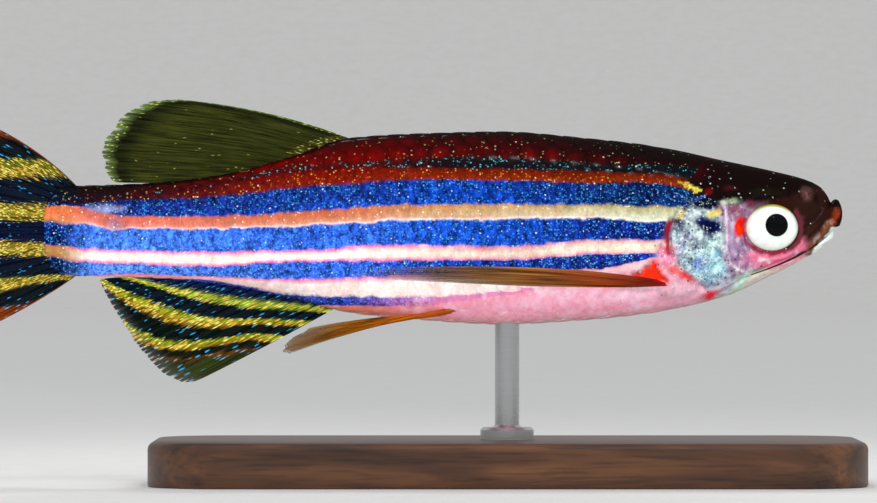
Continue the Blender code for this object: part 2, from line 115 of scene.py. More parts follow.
# The gill cover in side view: distance behind the snout, then height.
GILL_COVER = (
    (5.35, 1.10),
    (6.40, 0.92),
    (7.15, 0.62),
    (7.60, -0.10),
    (7.62, -0.95),
    (7.20, -1.75),
    (6.45, -2.40),
    (5.75, -2.75),
    (5.20, -2.50),
    (4.95, -1.80),
    (5.15, -0.60),
)
COVER_MIDDLE = (6.30, -0.85)
COVER_LIFT, COVER_EDGE_LIFT, COVER_SUNK, COVER_FRONT_SUNK = 0.06, 0.05, 0.25, 0.06
COVER_RISES = (5.30, 6.60)
COVER_GROOVE = ((5.0, -1.95), (6.1, -1.75), (7.3, -1.35))

EYE_CENTRE = (3.17, 1.20, 0.0)
EYE_RADII = (1.22, 0.72, 1.06)
EYE_TURN = math.radians(10)
PUPIL = {"distance": 2.98, "height": 0.12, "radius": 0.51, "dome": 0.09}
ORBIT_INNER, ORBIT_OUTER, ORBIT_RIM = 1.02, 1.36, 0.05
SOCKET_LEVEL, SOCKET_FLOOR = 0.09, -0.45

NOSTRILS = ((1.38, 1.50), (1.80, 1.42))
NOSTRIL_RADIUS, NOSTRIL_DEPTH, NOSTRIL_RIM = 0.15, 0.20, 0.05

MOUTH_HALF_WIDTH = 0.78
UPPER_LIP = {"tip": (0.24, 0.64), "corner": (1.50, -0.76), "thick": (0.32, 0.18), "deep": (0.65, 0.20)}
LOWER_LIP = {"tip": (0.51, -0.27), "corner": (1.62, -1.18), "thick": (0.19, 0.07), "deep": (0.28, 0.08)}
MOUTH_LINE = {"tip": (0.08, 0.04), "corner": (1.55, -1.04), "thick": (0.34, 0.34), "deep": (0.045, 0.03)}

# A barbel runs through three points: distance, height, and how far it stands off the skin.
SNOUT_BARBEL = ((0.85, 0.85, -0.15), (0.95, 0.55, 0.70), (1.70, -0.10, 0.50))
MOUTH_BARBEL = ((1.62, -1.02, -0.12), (2.30, -1.50, 0.50), (4.10, -2.10, 0.34))
BARBEL_RADII = (0.065, 0.022)
MOUTH_SOFT_END, MOUTH_SOFT_TOP, MOUTH_SOFTENING = 2.1, 1.20, 7

# Lines where the head's bones lift its skin or part from each other: points, half width and rise.
GILL_SLIT = ((6.25, -2.72), (7.30, -1.80), (7.76, -0.90), (7.74, 0.0), (7.32, 0.78), (6.50, 1.14))
HEAD_LINES = (
    (GILL_SLIT, 0.13, -0.24),
    (((5.30, 1.25), (5.24, 0.0), (5.18, -1.45), (4.75, -1.85), (4.10, -2.12)), 0.12, 0.05),
    (((5.04, 1.20), (4.96, 0.0), (4.90, -1.40), (4.50, -1.72)), 0.10, -0.05),
    (((1.70, -1.18), (3.20, -1.72), (4.60, -2.42), (5.60, -3.05)), 0.09, -0.07),
    (((1.90, 1.28), (2.60, 1.46), (3.50, 1.44), (4.40, 1.12)), 0.22, 0.04),
    (((0.72, 1.05), (1.05, 0.30), (1.62, -0.55)), 0.15, -0.03),
    (((1.65, 0.55), (1.80, -0.55), (2.60, -1.30), (3.60, -1.42), (4.45, -0.95)), 0.11, 0.05),
)

# Each fin's rays are counted from its leading edge, at share 0, to its trailing edge, at share 1.
# Tips and bows have that share, then distance, side and height. A bow moves the middle of a ray.
DORSAL_BASE = (21.5, 26.8)
DORSAL_TIPS = (
    (0.00, 29.7, 0.0, 5.80),
    (0.10, 30.7, 0.0, 5.78),
    (0.20, 31.6, 0.0, 5.52),
    (0.35, 32.5, 0.0, 4.95),
    (0.50, 33.0, 0.0, 4.20),
    (0.70, 33.3, 0.0, 3.40),
    (0.85, 33.2, 0.0, 2.74),
    (1.00, 32.8, 0.0, 2.04),
)
DORSAL_BOWS = ((0.0, -0.4, 0.0, 0.55), (0.8, 0.0, 0.0, 0.0), (1.0, 0.0, 0.0, -0.22))
ANAL_BASE = (22.4, 30.1)
ANAL_TIPS = (
    (0.00, 29.0, 0.0, -6.92),
    (0.08, 29.7, 0.0, -6.98),
    (0.20, 30.6, 0.0, -6.50),
    (0.35, 31.3, 0.0, -5.80),
    (0.55, 31.9, 0.0, -4.95),
    (0.75, 32.5, 0.0, -4.00),
    (0.90, 33.1, 0.0, -2.95),
    (1.00, 33.4, 0.0, -2.30),
)
ANAL_BOWS = ((0.0, 0.0, 0.0, -0.12), (0.3, 0.1, 0.0, 0.20), (1.0, 0.0, 0.0, 0.0))
TAIL_MIDDLE = -0.13
TAIL_ROOT_HALF_HEIGHT, LOBES_OVERLAP = 1.98, 0.03
UPPER_LOBE_TIPS = (
    (0.00, 43.0, 0.0, 6.15),
    (0.12, 42.9, 0.0, 5.45),
    (0.30, 41.9, 0.0, 4.10),
    (0.55, 40.6, 0.0, 2.35),
    (0.80, 39.8, 0.0, 0.85),
    (1.00, 39.5, 0.0, -0.16),
)
UPPER_LOBE_BOWS = ((0.0, -1.2, 0.0, 1.10), (0.4, -0.4, 0.0, 0.35), (1.0, 0.0, 0.0, 0.0))
LOWER_LOBE_TIPS = (
    (0.00, 43.0, 0.0, -6.40),
    (0.12, 42.9, 0.0, -5.70),
    (0.30, 41.9, 0.0, -4.35),
    (0.55, 40.6, 0.0, -2.60),
    (0.80, 39.8, 0.0, -1.11),
    (1.00, 39.5, 0.0, -0.10),
)
LOWER_LOBE_BOWS = ((0.0, -1.1, 0.0, -0.20), (0.4, -0.4, 0.0, -0.10), (1.0, 0.0, 0.0, 0.0))
PECTORAL_BASE = ((8.00, -2.42), (7.80, -2.57))
PECTORAL_TIPS = (
    (0.00, 21.0, 6.55, -1.82),
    (0.15, 21.9, 6.10, -1.90),
    (0.35, 22.1, 5.30, -2.05),
    (0.60, 21.0, 4.40, -2.22),
    (0.80, 19.4, 3.80, -2.32),
    (1.00, 17.0, 3.30, -2.42),
)
PECTORAL_BOWS = ((0.0, -0.7, 1.10, 0.64), (0.5, -0.6, 0.70, 0.10), (1.0, -0.4, 0.25, -0.22))
PELVIC_BASE = ((16.9, 1.10), (17.4, 0.50))
PELVIC_TIPS = (
    (0.00, 24.8, 3.00, -5.62),
    (0.30, 25.1, 2.60, -5.50),
    (0.65, 24.9, 2.00, -5.12),
    (1.00, 23.9, 1.30, -4.50),
)
PELVIC_BOWS = ((0.0, 0.3, 0.55, 0.40), (1.0, 0.2, 0.05, 0.25))
ROOT_DEPTH, PECTORAL_ROOT_DEPTH = 0.30, 0.12
COLUMNS_PER_RAY, FIN_ROWS = 12, 56
MEMBRANE, RAY_HEIGHT, RAY_HALF_WIDTH = 0.07, 0.10, 0.11
ROOT_SWELL, TIP_SHARE, EDGE_NOTCH = 0.9, 0.45, 0.012
FIRST_FORK, SECOND_FORK = 0.38, 0.72

BASE_SIZE = (32.0, 14.0, 2.0)
BASE_CORNER, BASE_CHAMFER = 3.5, 0.35
ROD_DIAMETER, COLLAR_DIAMETER, COLLAR_HEIGHT = 1.1, 2.4, 0.55

# Heights of the edges between the body's stripes, from the back down, at distances behind the snout.
STRIPE_EDGES = (
    (6.80, 2.95, 2.74, 2.16, 1.71, 0.85, 0.49, -0.45, -1.08, -1.21, -2.16, -2.18),
    (8.60, 3.10, 2.83, 2.43, 2.04, 0.94, 0.27, -0.54, -1.17, -1.35, -2.16, -2.18),
    (10.8, 3.40, 2.83, 2.52, 2.04, 0.99, 0.43, -0.56, -1.17, -1.84, -2.18, -2.20),
    (15.3, 3.90, 3.17, 2.61, 2.13, 1.03, 0.40, -0.85, -1.46, -1.98, -2.94, -2.97),
    (19.8, 3.84, 3.06, 2.70, 2.16, 0.99, 0.34, -0.76, -1.46, -2.13, -3.12, -3.50),
    (24.3, 3.22, 2.79, 2.52, 1.82, 0.67, 0.11, -1.03, -1.51, -2.29, -3.03, -3.46),
    (28.8, 2.07, 1.84, 1.80, 1.37, 0.49, -0.04, -1.06, -1.73, -2.18, -2.31, -2.50),
    (32.4, 1.75, 1.44, 1.42, 1.26, 0.56, -0.04, -1.01, -1.60, -2.07, -2.25, -2.40),
    (34.2, 1.71, 1.39, 1.37, 1.08, 0.99, 0.20, -0.92, -1.55, -2.16, -2.30, -2.40),
    (35.4, 1.75, 1.45, 1.42, 1.10, 1.05, 0.30, -0.75, -1.25, -2.10, -2.30, -2.40),
)
STRIPES = 12
# Place across the stripes, then the colours at the five stations along the body, and the share of
# painted glints.
STRIPE_STATIONS = (9.0, 17.0, 22.5, 33.4, 35.2)
STRIPE_COLOURS = (
    (0.10, "#100a08", "#1a0807", "#22080a", "#100a0a", "#0c1012", 0.06),
    (0.90, "#140a0b", "#220708", "#380606", "#120a0a", "#0a1014", 0.08),
    (1.12, "#180608", "#300506", "#480404", "#1c0a0c", "#0a1018", 0.10),
    (1.88, "#1c0607", "#300506", "#540403", "#200a0e", "#0a1020", 0.16),
    (2.12, "#0c1014", "#120e12", "#420a0a", "#200a10", "#0a1020", 0.45),
    (2.88, "#0a1014", "#140c12", "#4c0804", "#200a12", "#0a1024", 0.45),
    (3.10, "#5c1203", "#641404", "#680a04", "#2c0a10", "#0a1024", 0.30),
    (3.90, "#7c2606", "#7c2205", "#7c1806", "#24101c", "#0a1028", 0.42),
    (4.08, "#081848", "#0c3090", "#0e2878", "#101c5c", "#08143c", 1.00),
    (4.92, "#0a2058", "#0e40b0", "#183ca4", "#1a2c88", "#0a1c50", 1.00),
    (5.10, "#b0a474", "#c09058", "#c46c44", "#d46c58", "#d87444", 0.20),
    (5.55, "#c8ccac", "#caa87a", "#cc7c5c", "#d87060", "#ec8050", 0.18),
    (5.84, "#d4d4bc", "#d4b294", "#dc967c", "#e08478", "#d08450", 0.14),
    (5.94, "#eeeee0", "#f4e6d8", "#f8dcd0", "#f6bcb0", "#a07068", 0.10),
    (6.06, "#0a1c70", "#1248bc", "#2c5cdc", "#3c70ec", "#081c6c", 1.00),
    (6.94, "#0e1c70", "#1850cc", "#3468e4", "#4c80f4", "#061454", 0.95),
    (7.06, "#d8a0b4", "#e894b0", "#f87cb4", "#f888b0", "#b87454", 0.10),
    (7.26, "#e4d8c4", "#ecc8c0", "#fcd8d8", "#fce8e8", "#c08c54", 0.12),
    (7.50, "#ece8d0", "#f6f0dc", "#fffaf0", "#fffcf4", "#bc9454", 0.12),
    (7.76, "#ecdccc", "#f6dcd0", "#fff0e8", "#fff4f0", "#b08444", 0.12),
    (7.95, "#e4a0b8", "#ec8cbc", "#f868b8", "#f87cb8", "#a87060", 0.10),
    (8.06, "#142488", "#1638ac", "#2c5ce0", "#4c7cec", "#081c50", 1.00),
    (8.94, "#1a2a8c", "#1a3cb0", "#3464e4", "#5c88f4", "#0a2050", 1.00),
    (9.06, "#f4b4c4", "#f8acd0", "#f894c0", "#f07898", "#b08040", 0.05),
    (9.30, "#fcd4d8", "#fff9f0", "#fffaf4", "#f0a0a8", "#b89c38", 0.08),
    (9.90, "#fcbcd0", "#fff0ec", "#fff2ec", "#f0909c", "#a88c30", 0.08),
    (10.1, "#ffb4d0", "#e890cc", "#3c54c4", "#3450c0", "#0c1830", 0.05),
    (10.9, "#ffb0cc", "#f494bc", "#1438b0", "#3450c0", "#0c1830", 0.05),
    (11.1, "#ffbcd8", "#ffacc4", "#ec8c7c", "#d89088", "#a06020", 0.05),
    (11.4, "#ffc4dc", "#ffb4d0", "#f49878", "#e0a090", "#a06020", 0.05),
    (11.8, "#ffb8d4", "#ffacc0", "#f09078", "#d89888", "#a06020", 0.05),
    (11.98, "#ffd0dc", "#ffccd4", "#e8bcb0", "#c89888", "#a06020", 0.05),
)
# The lowest blue stripe has painted glints only behind the second station, and this many there.
REAR_PAINTED_GLINTS = 1.0
# Place across the stripes, and the colour of the painted glints there.
PAINTED_GLINT_COLOURS = (
    (0.0, "#98a058"),
    (1.0, "#c8c080"),
    (2.0, "#58c8d8"),
    (3.0, "#ec9c34"),
    (4.0, "#3ca4f0"),
    (5.0, "#fffae0"),
    (6.0, "#4cacfa"),
    (7.0, "#ffffff"),
    (8.0, "#60ccff"),
    (9.0, "#ffffff"),
    (10.0, "#80a4ff"),
    (11.0, "#ffe4f0"),
)
# Place across the stripes, and how far the middles of the scales redden there.
SCALE_REDNESS = ((0.0, 0.0), (0.6, 0.10), (1.0, 0.6), (1.3, 1.0), (1.8, 0.8), (2.3, 0.15), (3.0, 0.0))
# Distance behind the snout, and the share of that redness.
REDNESS_ALONG = ((6.5, 0.05), (9.0, 0.15), (12.0, 0.40), (17.0, 0.90), (22.0, 1.0), (30.5, 0.9), (32.5, 0.0))
SCALE_RED = "#8c0503"

# Markings of the head, painted in this order. Each has its shape, a soft edge, a colour, how far it
# covers what lies below, how many painted glints it has and how many dark dots. A few pale lines
# are painted highlights.
# A patch has its centre, radii and lean. A line has its points and half width.
HEAD_MARKS = (
    ("patch", (5.20, -0.40), (2.00, 2.60), 0, 0.50, "#94708c", 1.0, 0.05, 0.25),
    ("patch", (6.60, -0.60), (1.45, 1.85), 0, 0.25, "#a8bcc0", 1.0, 0.40, 0.80),
    ("patch", (6.00, -1.90), (1.10, 0.80), -20, 0.50, "#98cce0", 0.8, 0.40, 0.70),
    ("patch", (7.34, 0.20), (0.32, 0.30), 0, 0.60, "#281a44", 0.9, 0.50, 0.50),
    ("patch", (7.00, -0.49), (0.36, 0.30), 0, 0.80, "#7c7c98", 0.8, 0.40, 0.70),
    ("patch", (6.65, 0.48), (0.42, 0.28), 0, 0.70, "#b8c6cc", 0.9, 0.30, 0.50),
    ("patch", (5.86, -0.84), (0.55, 0.62), 0, 0.80, "#c4ece4", 0.8, 0.30, 0.60),
    ("patch", (5.64, -1.21), (0.22, 0.36), 10, 0.80, "#5894b8", 0.8, 0.30, 0.70),
    ("patch", (6.45, -1.58), (0.50, 0.24), 25, 0.80, "#6878cc", 0.8, 0.30, 0.70),
    ("patch", (5.58, -1.77), (0.38, 0.27), 20, 0.80, "#acf0f0", 0.8, 0.20, 0.50),
    ("patch", (7.30, -0.90), (0.26, 0.60), 0, 0.80, "#8488b4", 0.6, 0.20, 0.70),
    ("patch", (4.00, -2.60), (2.60, 0.62), 24, 0.50, "#dce4cc", 1.0, 0.05, 0.10),
    ("patch", (4.60, -2.45), (0.60, 0.32), 25, 0.80, "#c4f0dc", 0.9, 0.05, 0.20),
    ("patch", (5.50, -2.72), (0.95, 0.46), 28, 0.70, "#c6bed4", 0.9, 0.05, 0.40),
    ("patch", (3.00, -2.00), (0.90, 0.24), 25, 0.80, "#dcc4b0", 0.9, 0.02, 0.05),
    ("patch", (1.90, -1.50), (0.75, 0.26), 32, 0.80, "#dcb0ac", 0.9, 0.02, 0.10),
    ("patch", (4.55, -1.00), (0.85, 1.05), 0, 0.50, "#a07ca0", 1.0, 0.05, 0.45),
    ("patch", (4.20, -1.65), (0.75, 0.36), 15, 0.70, "#b490ac", 0.9, 0.05, 0.55),
    ("patch", (4.85, 0.75), (0.36, 0.34), 0, 0.80, "#85405a", 0.9, 0.05, 0.20),
    ("line", ((5.00, 0.55), (5.02, -0.30), (4.92, -1.20)), 0.09, 1.0, "#ccb0cc", 0.6, 0.10, 0.2),
    ("patch", (3.00, -1.45), (1.60, 0.42), 0, 0.50, "#e07898", 1.0, 0.05, 0.10),
    ("line", ((1.40, -1.40), (2.20, -1.72), (3.10, -2.08), (4.20, -2.58)), 0.22, 0.5, "#e8d8d0", 0.85,
        0.02, 0.1),
    ("line", ((4.00, -1.25), (3.30, -1.52), (2.60, -1.52), (1.95, -1.15), (1.62, -0.60)), 0.20, 0.8,
        "#f07c9c", 0.95, 0.02, 0.0),
    # Painted highlights on the pink band under the eye.
    ("line", ((3.75, -1.38), (3.25, -1.50)), 0.07, 0.8, "#fbe8f0", 0.9, 0.0, 0.0),
    ("line", ((2.60, -1.60), (2.20, -1.42), (1.95, -1.10)), 0.06, 0.8, "#f8c4dc", 0.9, 0.0, 0.0),
    ("patch", (3.60, 2.35), (4.00, 1.22), 9, 0.16, "#120806", 1.0, 0.03, 0.0),
    ("patch", (6.40, 2.30), (1.20, 0.90), 0, 0.30, "#160506", 1.0, 0.08, 0.0),
    ("patch", (1.50, 0.60), (0.95, 0.95), 0, 0.35, "#2a1712", 1.0, 0.02, 0.0),
    ("patch", (1.35, -0.30), (0.36, 0.55), -30, 0.60, "#3a1e18", 0.9, 0.02, 0.0),
    ("patch", (6.50, 2.55), (0.45, 0.42), 0, 0.90, "#30040a", 0.9, 0.10, 0.0),
    ("patch", (6.00, 1.60), (0.22, 0.14), 0, 0.90, "#780814", 0.9, 0.05, 0.0),
    ("patch", (5.00, 1.78), (0.34, 0.15), 0, 0.90, "#481018", 0.9, 0.05, 0.0),
    ("patch", (4.14, 1.02), (0.24, 0.22), 30, 0.80, "#6a2034", 0.9, 0.05, 0.0),
    ("patch", (3.40, 1.60), (0.90, 0.20), 0, 0.80, "#241e10", 0.4, 0.30, 0.0),
    ("patch", (1.60, 1.52), (0.28, 0.34), 20, 0.90, "#6c4a48", 0.8, 0.02, 0.0),
    ("patch", (1.20, 1.30), (0.14, 0.30), 25, 0.80, "#140a08", 0.8, 0.02, 0.0),
    ("patch", (6.15, 1.08), (0.72, 0.28), 0, 0.30, "#050a20", 1.0, 0.80, 0.0),
    ("patch", (6.42, 1.34), (0.28, 0.09), 0, 0.60, "#1450b0", 0.9, 0.80, 0.0),
    ("patch", (5.05, 1.17), (0.52, 0.13), 3, 0.50, "#8c9c78", 1.0, 0.30, 0.2),
    ("patch", (5.34, 1.16), (0.16, 0.15), 0, 0.60, "#b8c0b0", 1.0, 0.20, 0.0),
    ("line", ((5.42, 0.80), (5.40, 0.55)), 0.06, 0.6, "#480810", 0.9, 0.0, 0.0),
    ("patch", (5.83, 0.63), (0.38, 0.17), 12, 0.40, "#dcd07c", 1.0, 0.20, 0.1),
    ("patch", (5.72, 0.75), (0.18, 0.07), 12, 0.60, "#e0b020", 1.0, 0.20, 0.0),
    ("patch", (5.96, 0.10), (0.62, 0.38), -12, 0.35, "#080e3c", 1.0, 0.50, 0.0),
    ("patch", (6.36, 0.34), (0.34, 0.16), 20, 0.50, "#0c1450", 0.9, 0.50, 0.0),
    ("patch", (6.10, -0.30), (0.30, 0.16), -30, 0.60, "#141c58", 0.9, 0.40, 0.0),
    ("patch", (5.58, -0.02), (0.24, 0.26), 0, 0.60, "#0a1044", 0.9, 0.40, 0.0),
    ("line", ((5.29, 0.95), (5.24, 0.20), (5.20, -0.60), (5.18, -1.20), (5.04, -1.55), (4.86, -1.72)),
        0.045, 1.0, "#e4d0e4", 0.75, 0.1, 0.2),
    ("line", ((4.90, -1.68), (4.80, -1.76), (4.45, -2.00)), 0.05, 0.8, "#fbeaf2", 0.9, 0.0, 0.0),
    ("line", ((4.42, 0.40), (4.45, -0.15), (4.27, -0.68), (3.82, -1.03), (3.22, -1.17), (2.60, -1.12)),
        0.08, 0.7, "#901830", 0.95, 0.0, 0.0),
    ("line", ((2.30, -0.98), (1.98, -0.62), (1.86, -0.10), (1.88, 0.35), (2.04, 0.75)), 0.10, 0.7,
        "#70303e", 0.9, 0.0, 0.0),
    ("patch", (4.64, 0.02), (0.26, 0.50), 0, 0.30, "#ec1604", 1.0, 0.0, 0.0),
    ("patch", (4.66, -0.06), (0.12, 0.28), 0, 0.60, "#ff3c0c", 1.0, 0.0, 0.0),
    ("patch", (7.00, -2.25), (0.20, 0.16), 0, 0.80, "#f83858", 0.9, 0.0, 0.0),
    ("patch", (0.30, 0.70), (0.50, 0.60), 0, 0.40, "#2c120a", 1.0, 0.0, 0.0),
    ("patch", (0.18, 1.06), (0.48, 0.32), 0, 0.50, "#0e0807", 1.0, 0.0, 0.0),
    ("line", ((0.18, 0.70), (0.32, 0.46), (0.50, 0.14)), 0.14, 0.9, "#8c3204", 1.0, 0.0, 0.1),
    ("line", ((0.58, 0.20), (0.88, -0.16), (1.15, -0.54), (1.40, -0.84)), 0.15, 0.9, "#7c4a30", 0.95,
        0.0, 0.25),
    ("line", ((0.80, 0.30), (1.10, -0.05), (1.45, -0.42)), 0.06, 0.8, "#241210", 0.8, 0.0, 0.0),
    ("line", ((0.10, 1.04), (-0.06, 0.82), (-0.07, 0.52), (0.10, 0.22)), 0.10, 0.6, "#1c0c08", 0.9,
        0.0, 0.0),
    ("line", ((0.52, 0.00), (0.90, -0.46), (1.30, -0.94)), 0.12, 0.5, "#6c4434", 0.9, 0.0, 0.0),
    # A painted highlight along the lower lip.
    ("line", ((0.30, -0.14), (0.72, -0.66), (1.20, -1.16)), 0.20, 0.30, "#f0fff8", 1.0, 0.0, 0.0),
    ("patch", (1.48, -1.10), (0.22, 0.14), 30, 0.80, "#5c3e34", 0.8, 0.0, 0.1),
)
# Markings that lie over the stripes, behind the gill opening and at the root of the tail.
FLANK_MARKS = (
    ("patch", (7.85, -1.35), (0.42, 0.62), 0, 0.70, "#f07ca4", 0.9, 0.15, 0.5),
    ("patch", (8.02, -0.95), (0.44, 0.40), 0, 0.60, "#f86c90", 0.9, 0.15, 0.5),
    ("patch", (8.20, -1.55), (0.45, 0.35), 0, 0.80, "#f4709c", 0.8, 0.10, 0.2),
    ("patch", (8.02, -0.22), (0.26, 0.36), 0, 0.80, "#0c0c34", 0.7, 0.40, 0.0),
    ("line", ((7.74, 0.28), (7.86, -0.10), (7.90, -0.60), (7.84, -1.10)), 0.12, 0.6, "#a8102a", 0.95,
        0.0, 0.0),
    ("patch", (7.48, 0.36), (0.26, 0.20), 0, 0.60, "#2c1c38", 0.9, 0.20, 0.0),
    ("patch", (7.24, 0.58), (0.24, 0.13), 30, 0.60, "#ccac24", 0.9, 0.50, 0.0),
    ("patch", (7.30, -2.75), (0.95, 0.45), 20, 0.80, "#ffc4d8", 0.9, 0.05, 0.2),
    ("patch", (8.60, -2.02), (0.66, 0.36), 10, 0.50, "#f83018", 1.0, 0.0, 0.0),
    ("line", ((8.50, -1.70), (8.35, -2.05), (8.00, -2.35)), 0.26, 0.5, "#f82c10", 1.0, 0.0, 0.0),
    ("line", ((9.30, -2.15), (8.60, -2.20), (7.85, -2.45)), 0.17, 0.6, "#fa3010", 1.0, 0.0, 0.0),
    ("line", ((9.34, -2.08), (8.85, -1.78), (8.50, -1.52)), 0.05, 0.7, "#7c0a12", 0.9, 0.0, 0.0),
    ("line", ((8.36, -1.60), (8.20, -2.00), (7.86, -2.44)), 0.05, 0.7, "#98140c", 0.8, 0.0, 0.0),
    ("line", ((7.40, 2.04), (7.14, 1.92), (6.92, 1.76)), 0.05, 0.7, "#dcb830", 1.0, 0.5, 0.0),
    ("line", ((7.06, 2.00), (6.84, 1.86), (6.60, 1.62)), 0.05, 0.7, "#e8d448", 1.0, 0.5, 0.0),
    ("line", ((6.78, 1.82), (6.58, 1.72), (6.34, 1.70)), 0.04, 0.7, "#d4c840", 1.0, 0.5, 0.0),
    ("patch", (7.10, -2.14), (0.66, 0.19), -30, 0.60, "#fa3c30", 0.95, 0.0, 0.2),
    ("patch", (7.60, -1.86), (0.30, 0.26), -20, 0.80, "#fb4838", 0.9, 0.1, 0.2),
    ("patch", (8.70, -2.62), (1.30, 0.20), 4, 0.80, "#ffd0dc", 0.8, 0.1, 0.1),
    ("patch", (5.90, -3.02), (0.50, 0.22), 25, 0.70, "#f83040", 1.0, 0.0, 0.0),
    ("patch", (33.0, 0.85), (1.10, 0.24), 0, 0.80, "#a4b0ec", 0.8, 0.40, 0.2),
    ("patch", (32.6, 0.10), (0.50, 0.50), 0, 0.90, "#8ca8f4", 0.5, 0.60, 0.0),
)
HEAD_BASE = "#2c1210"
PAINT_ENDS, PAINT_STARTS_AGAIN = 10.5, 31.0
# How many waves of the paint's uneven edges fit in a millimetre, and how far they reach.
PAINT_WANDER = ((2.0, 0.10), (6.0, 0.06), (16.0, 0.03))

SCALE_LENGTH, SCALE_PERIOD, SCALE_PERIOD_AT_TAIL = 1.45, 1.05, 0.85
SCALE_ROWS, SCALE_WIDTH_SHARE = 9, 1.30
SCALE_GRID = 8
SCALE_ROOT, SCALE_LIFT, SCALE_DOME, SCALE_UNDER = -0.035, 0.050, 0.022, -0.06
FIRST_SCALE, LAST_SCALE, LAST_SCALE_END = 6.9, 34.9, 35.6
PATCH = 0.003
UNWRAP_TURN = 0.4

# The floor's flat radius, the radius of its bend and the height of its wall, in metres.
FLOOR_SIZES = (0.85, 0.30, 0.42)
FLOOR_STEPS = 12
SKY_STRENGTH = 0.70
# Each lamp's place and radius in metres, its power, the width of its beam in degrees, and whether
# wet surfaces mirror it.
LAMPS = (
    ("key", (0.07, -0.28, 0.15), 0.05, 0.40, 26, False),
    ("fill", (-0.16, -0.28, 0.06), 0.05, 0.40, 22, False),
    ("left_key", (0.05, 0.28, 0.15), 0.05, 0.90, 24, False),
    ("left_low", (-0.06, 0.30, 0.02), 0.015, 0.90, 14, False),
    ("low", (0.0, -0.32, 0.014), 0.010, 1.90, 13, False),
    ("glance", (0.06, -0.20, 0.30), 0.015, 0.40, 22, True),
    ("rim", (-0.04, 0.16, 0.24), 0.025, 0.48, 26, True),
)
LAMP_BLEND = 0.6
CAMERA_AWAY, FRAME_WIDTH = 300.0, 39.4
FRAME_CENTRE = (18.08, -1.06)

MIX_A, MIX_B, MIX_COLOUR = 6, 7, 2
# Sizes in millimetres of the painted glints' cells, the grain's patches, the dark dots and the flakes.
PAINTED_GLINT_SIZE, GRAIN_SIZE, DOT_SIZE, FLAKE_SIZE = 0.085, 0.26, 0.15, 0.34


def at(distance, side, height):
    """The place in metres of a point given in the fish's own measures."""
    return Vector((ROD_DISTANCE - distance, side, AXIS_HEIGHT + height)) * MM


def place_of(co):
    """The distance, side and height in millimetres of a place in metres."""
    return ROD_DISTANCE - co.x / MM, co.y / MM, co.z / MM - AXIS_HEIGHT


@functools.cache
def tangents(points):
    """The slope at each point of the smooth curve through (position, value) points."""
    slopes = [(b[1] - a[1]) / (b[0] - a[0]) for a, b in zip(points, points[1:])]
    found = [slopes[0]]
    for before, after in zip(slopes, slopes[1:]):
        same_way = before * after > 0
        found.append(2 * before * after / (before + after) if same_way else 0.0)
    return [*found, slopes[-1]]


def smooth(points, position):
    """The value at position on the curve through (position, value) points, with no overshoot."""
    if position <= points[0][0]:
        return points[0][1]
    if position >= points[-1][0]:
        return points[-1][1]
    slopes = tangents(points)
    i = max(k for k, point in enumerate(points[:-1]) if point[0] <= position)
    (left, low), (right, high) = points[i], points[i + 1]
    width = right - left
    t = (position - left) / width
    return (
        low * (1 + 2 * t) * (1 - t) ** 2
        + slopes[i] * width * t * (1 - t) ** 2
        + high * t * t * (3 - 2 * t)
        + slopes[i + 1] * width * t * t * (t - 1)
    )


@functools.cache
def column_of(table, k):
    return tuple((row[0], row[k]) for row in table)


def smooth_point(table, share):
    """The (distance, side, height) at that share of a fin's table."""
    return Vector([smooth(column_of(table, k), share) for k in (1, 2, 3)])


@functools.cache
def body(column, distance):
    return smooth(column_of(BODY, column), distance)


def side_at(distance, height):
    """Half the body's width at that distance and height."""
    middle = body(WIDEST, distance)
    reach = body(BACK, distance) - middle if height > middle else middle - body(BELLY, distance)
    share = min(1.0, abs(height - middle) / reach)
    return body(HALF_WIDTH, distance) * (1 - share**SQUARENESS) ** (1 / SQUARENESS)


def belly_at(distance, side):
    """The height of the body's underside at that distance and side."""
    middle = body(WIDEST, distance)
    share = min(1.0, abs(side) / body(HALF_WIDTH, distance))
    return middle - (middle - body(BELLY, distance)) * (1 - share**SQUARENESS) ** (1 / SQUARENESS)


def body_place(distance, angle):
    """A point of the body's surface: angle 0 is its left and a quarter turn its back."""
    middle = body(WIDEST, distance)
    up, across = math.sin(angle), math.cos(angle)
    reach = body(BACK, distance) - middle if up > 0 else middle - body(BELLY, distance)
    power = 2 / SQUARENESS
    height = middle + reach * math.copysign(abs(up) ** power, up)
    return Vector((distance, body(HALF_WIDTH, distance) * math.copysign(abs(across) ** power, across), height))


def fade(value, low, high):
    """Rises smoothly from 0 at low to 1 at high."""
    t = min(1.0, max(0.0, (value - low) / (high - low)))
    return t * t * (3 - 2 * t)


def bell(value):
    return math.exp(-value * value)


def off_line(points, distance, height):
    """How far a place in side view is from a line through the points."""
    nearest = math.inf
    for (x0, y0), (x1, y1) in zip(points, points[1:]):
        run_x, run_y = x1 - x0, y1 - y0
        share = ((distance - x0) * run_x + (height - y0) * run_y) / (run_x**2 + run_y**2)
        share = min(1.0, max(0.0, share))
        nearest = min(nearest, math.hypot(distance - x0 - run_x * share, height - y0 - run_y * share))
    return nearest


def srgb(text):
    """The linear red, green, blue and alpha of an sRGB hex colour."""
    channels = [int(text[i : i + 2], 16) / 255 for i in (1, 3, 5)]
    return (*(c / 12.92 if c <= 0.04045 else ((c + 0.055) / 1.055) ** 2.4 for c in channels), 1.0)


def mesh_object(name, bm, sharp_angle=50):
    """Makes the object of a mesh, with its faces out and its round faces shaded smooth."""
    bmesh.ops.recalc_face_normals(bm, faces=bm.faces)
    if bm.calc_volume(signed=True) < 0:
        bmesh.ops.reverse_faces(bm, faces=bm.faces)
    mesh = bpy.data.meshes.new(name)
    bm.to_mesh(mesh)
    bm.free()
    mesh.shade_smooth()
    mesh.set_sharp_from_angle(angle=math.radians(sharp_angle))
    made = bpy.data.objects.new(name, mesh)
    bpy.context.scene.collection.objects.link(made)
    return made


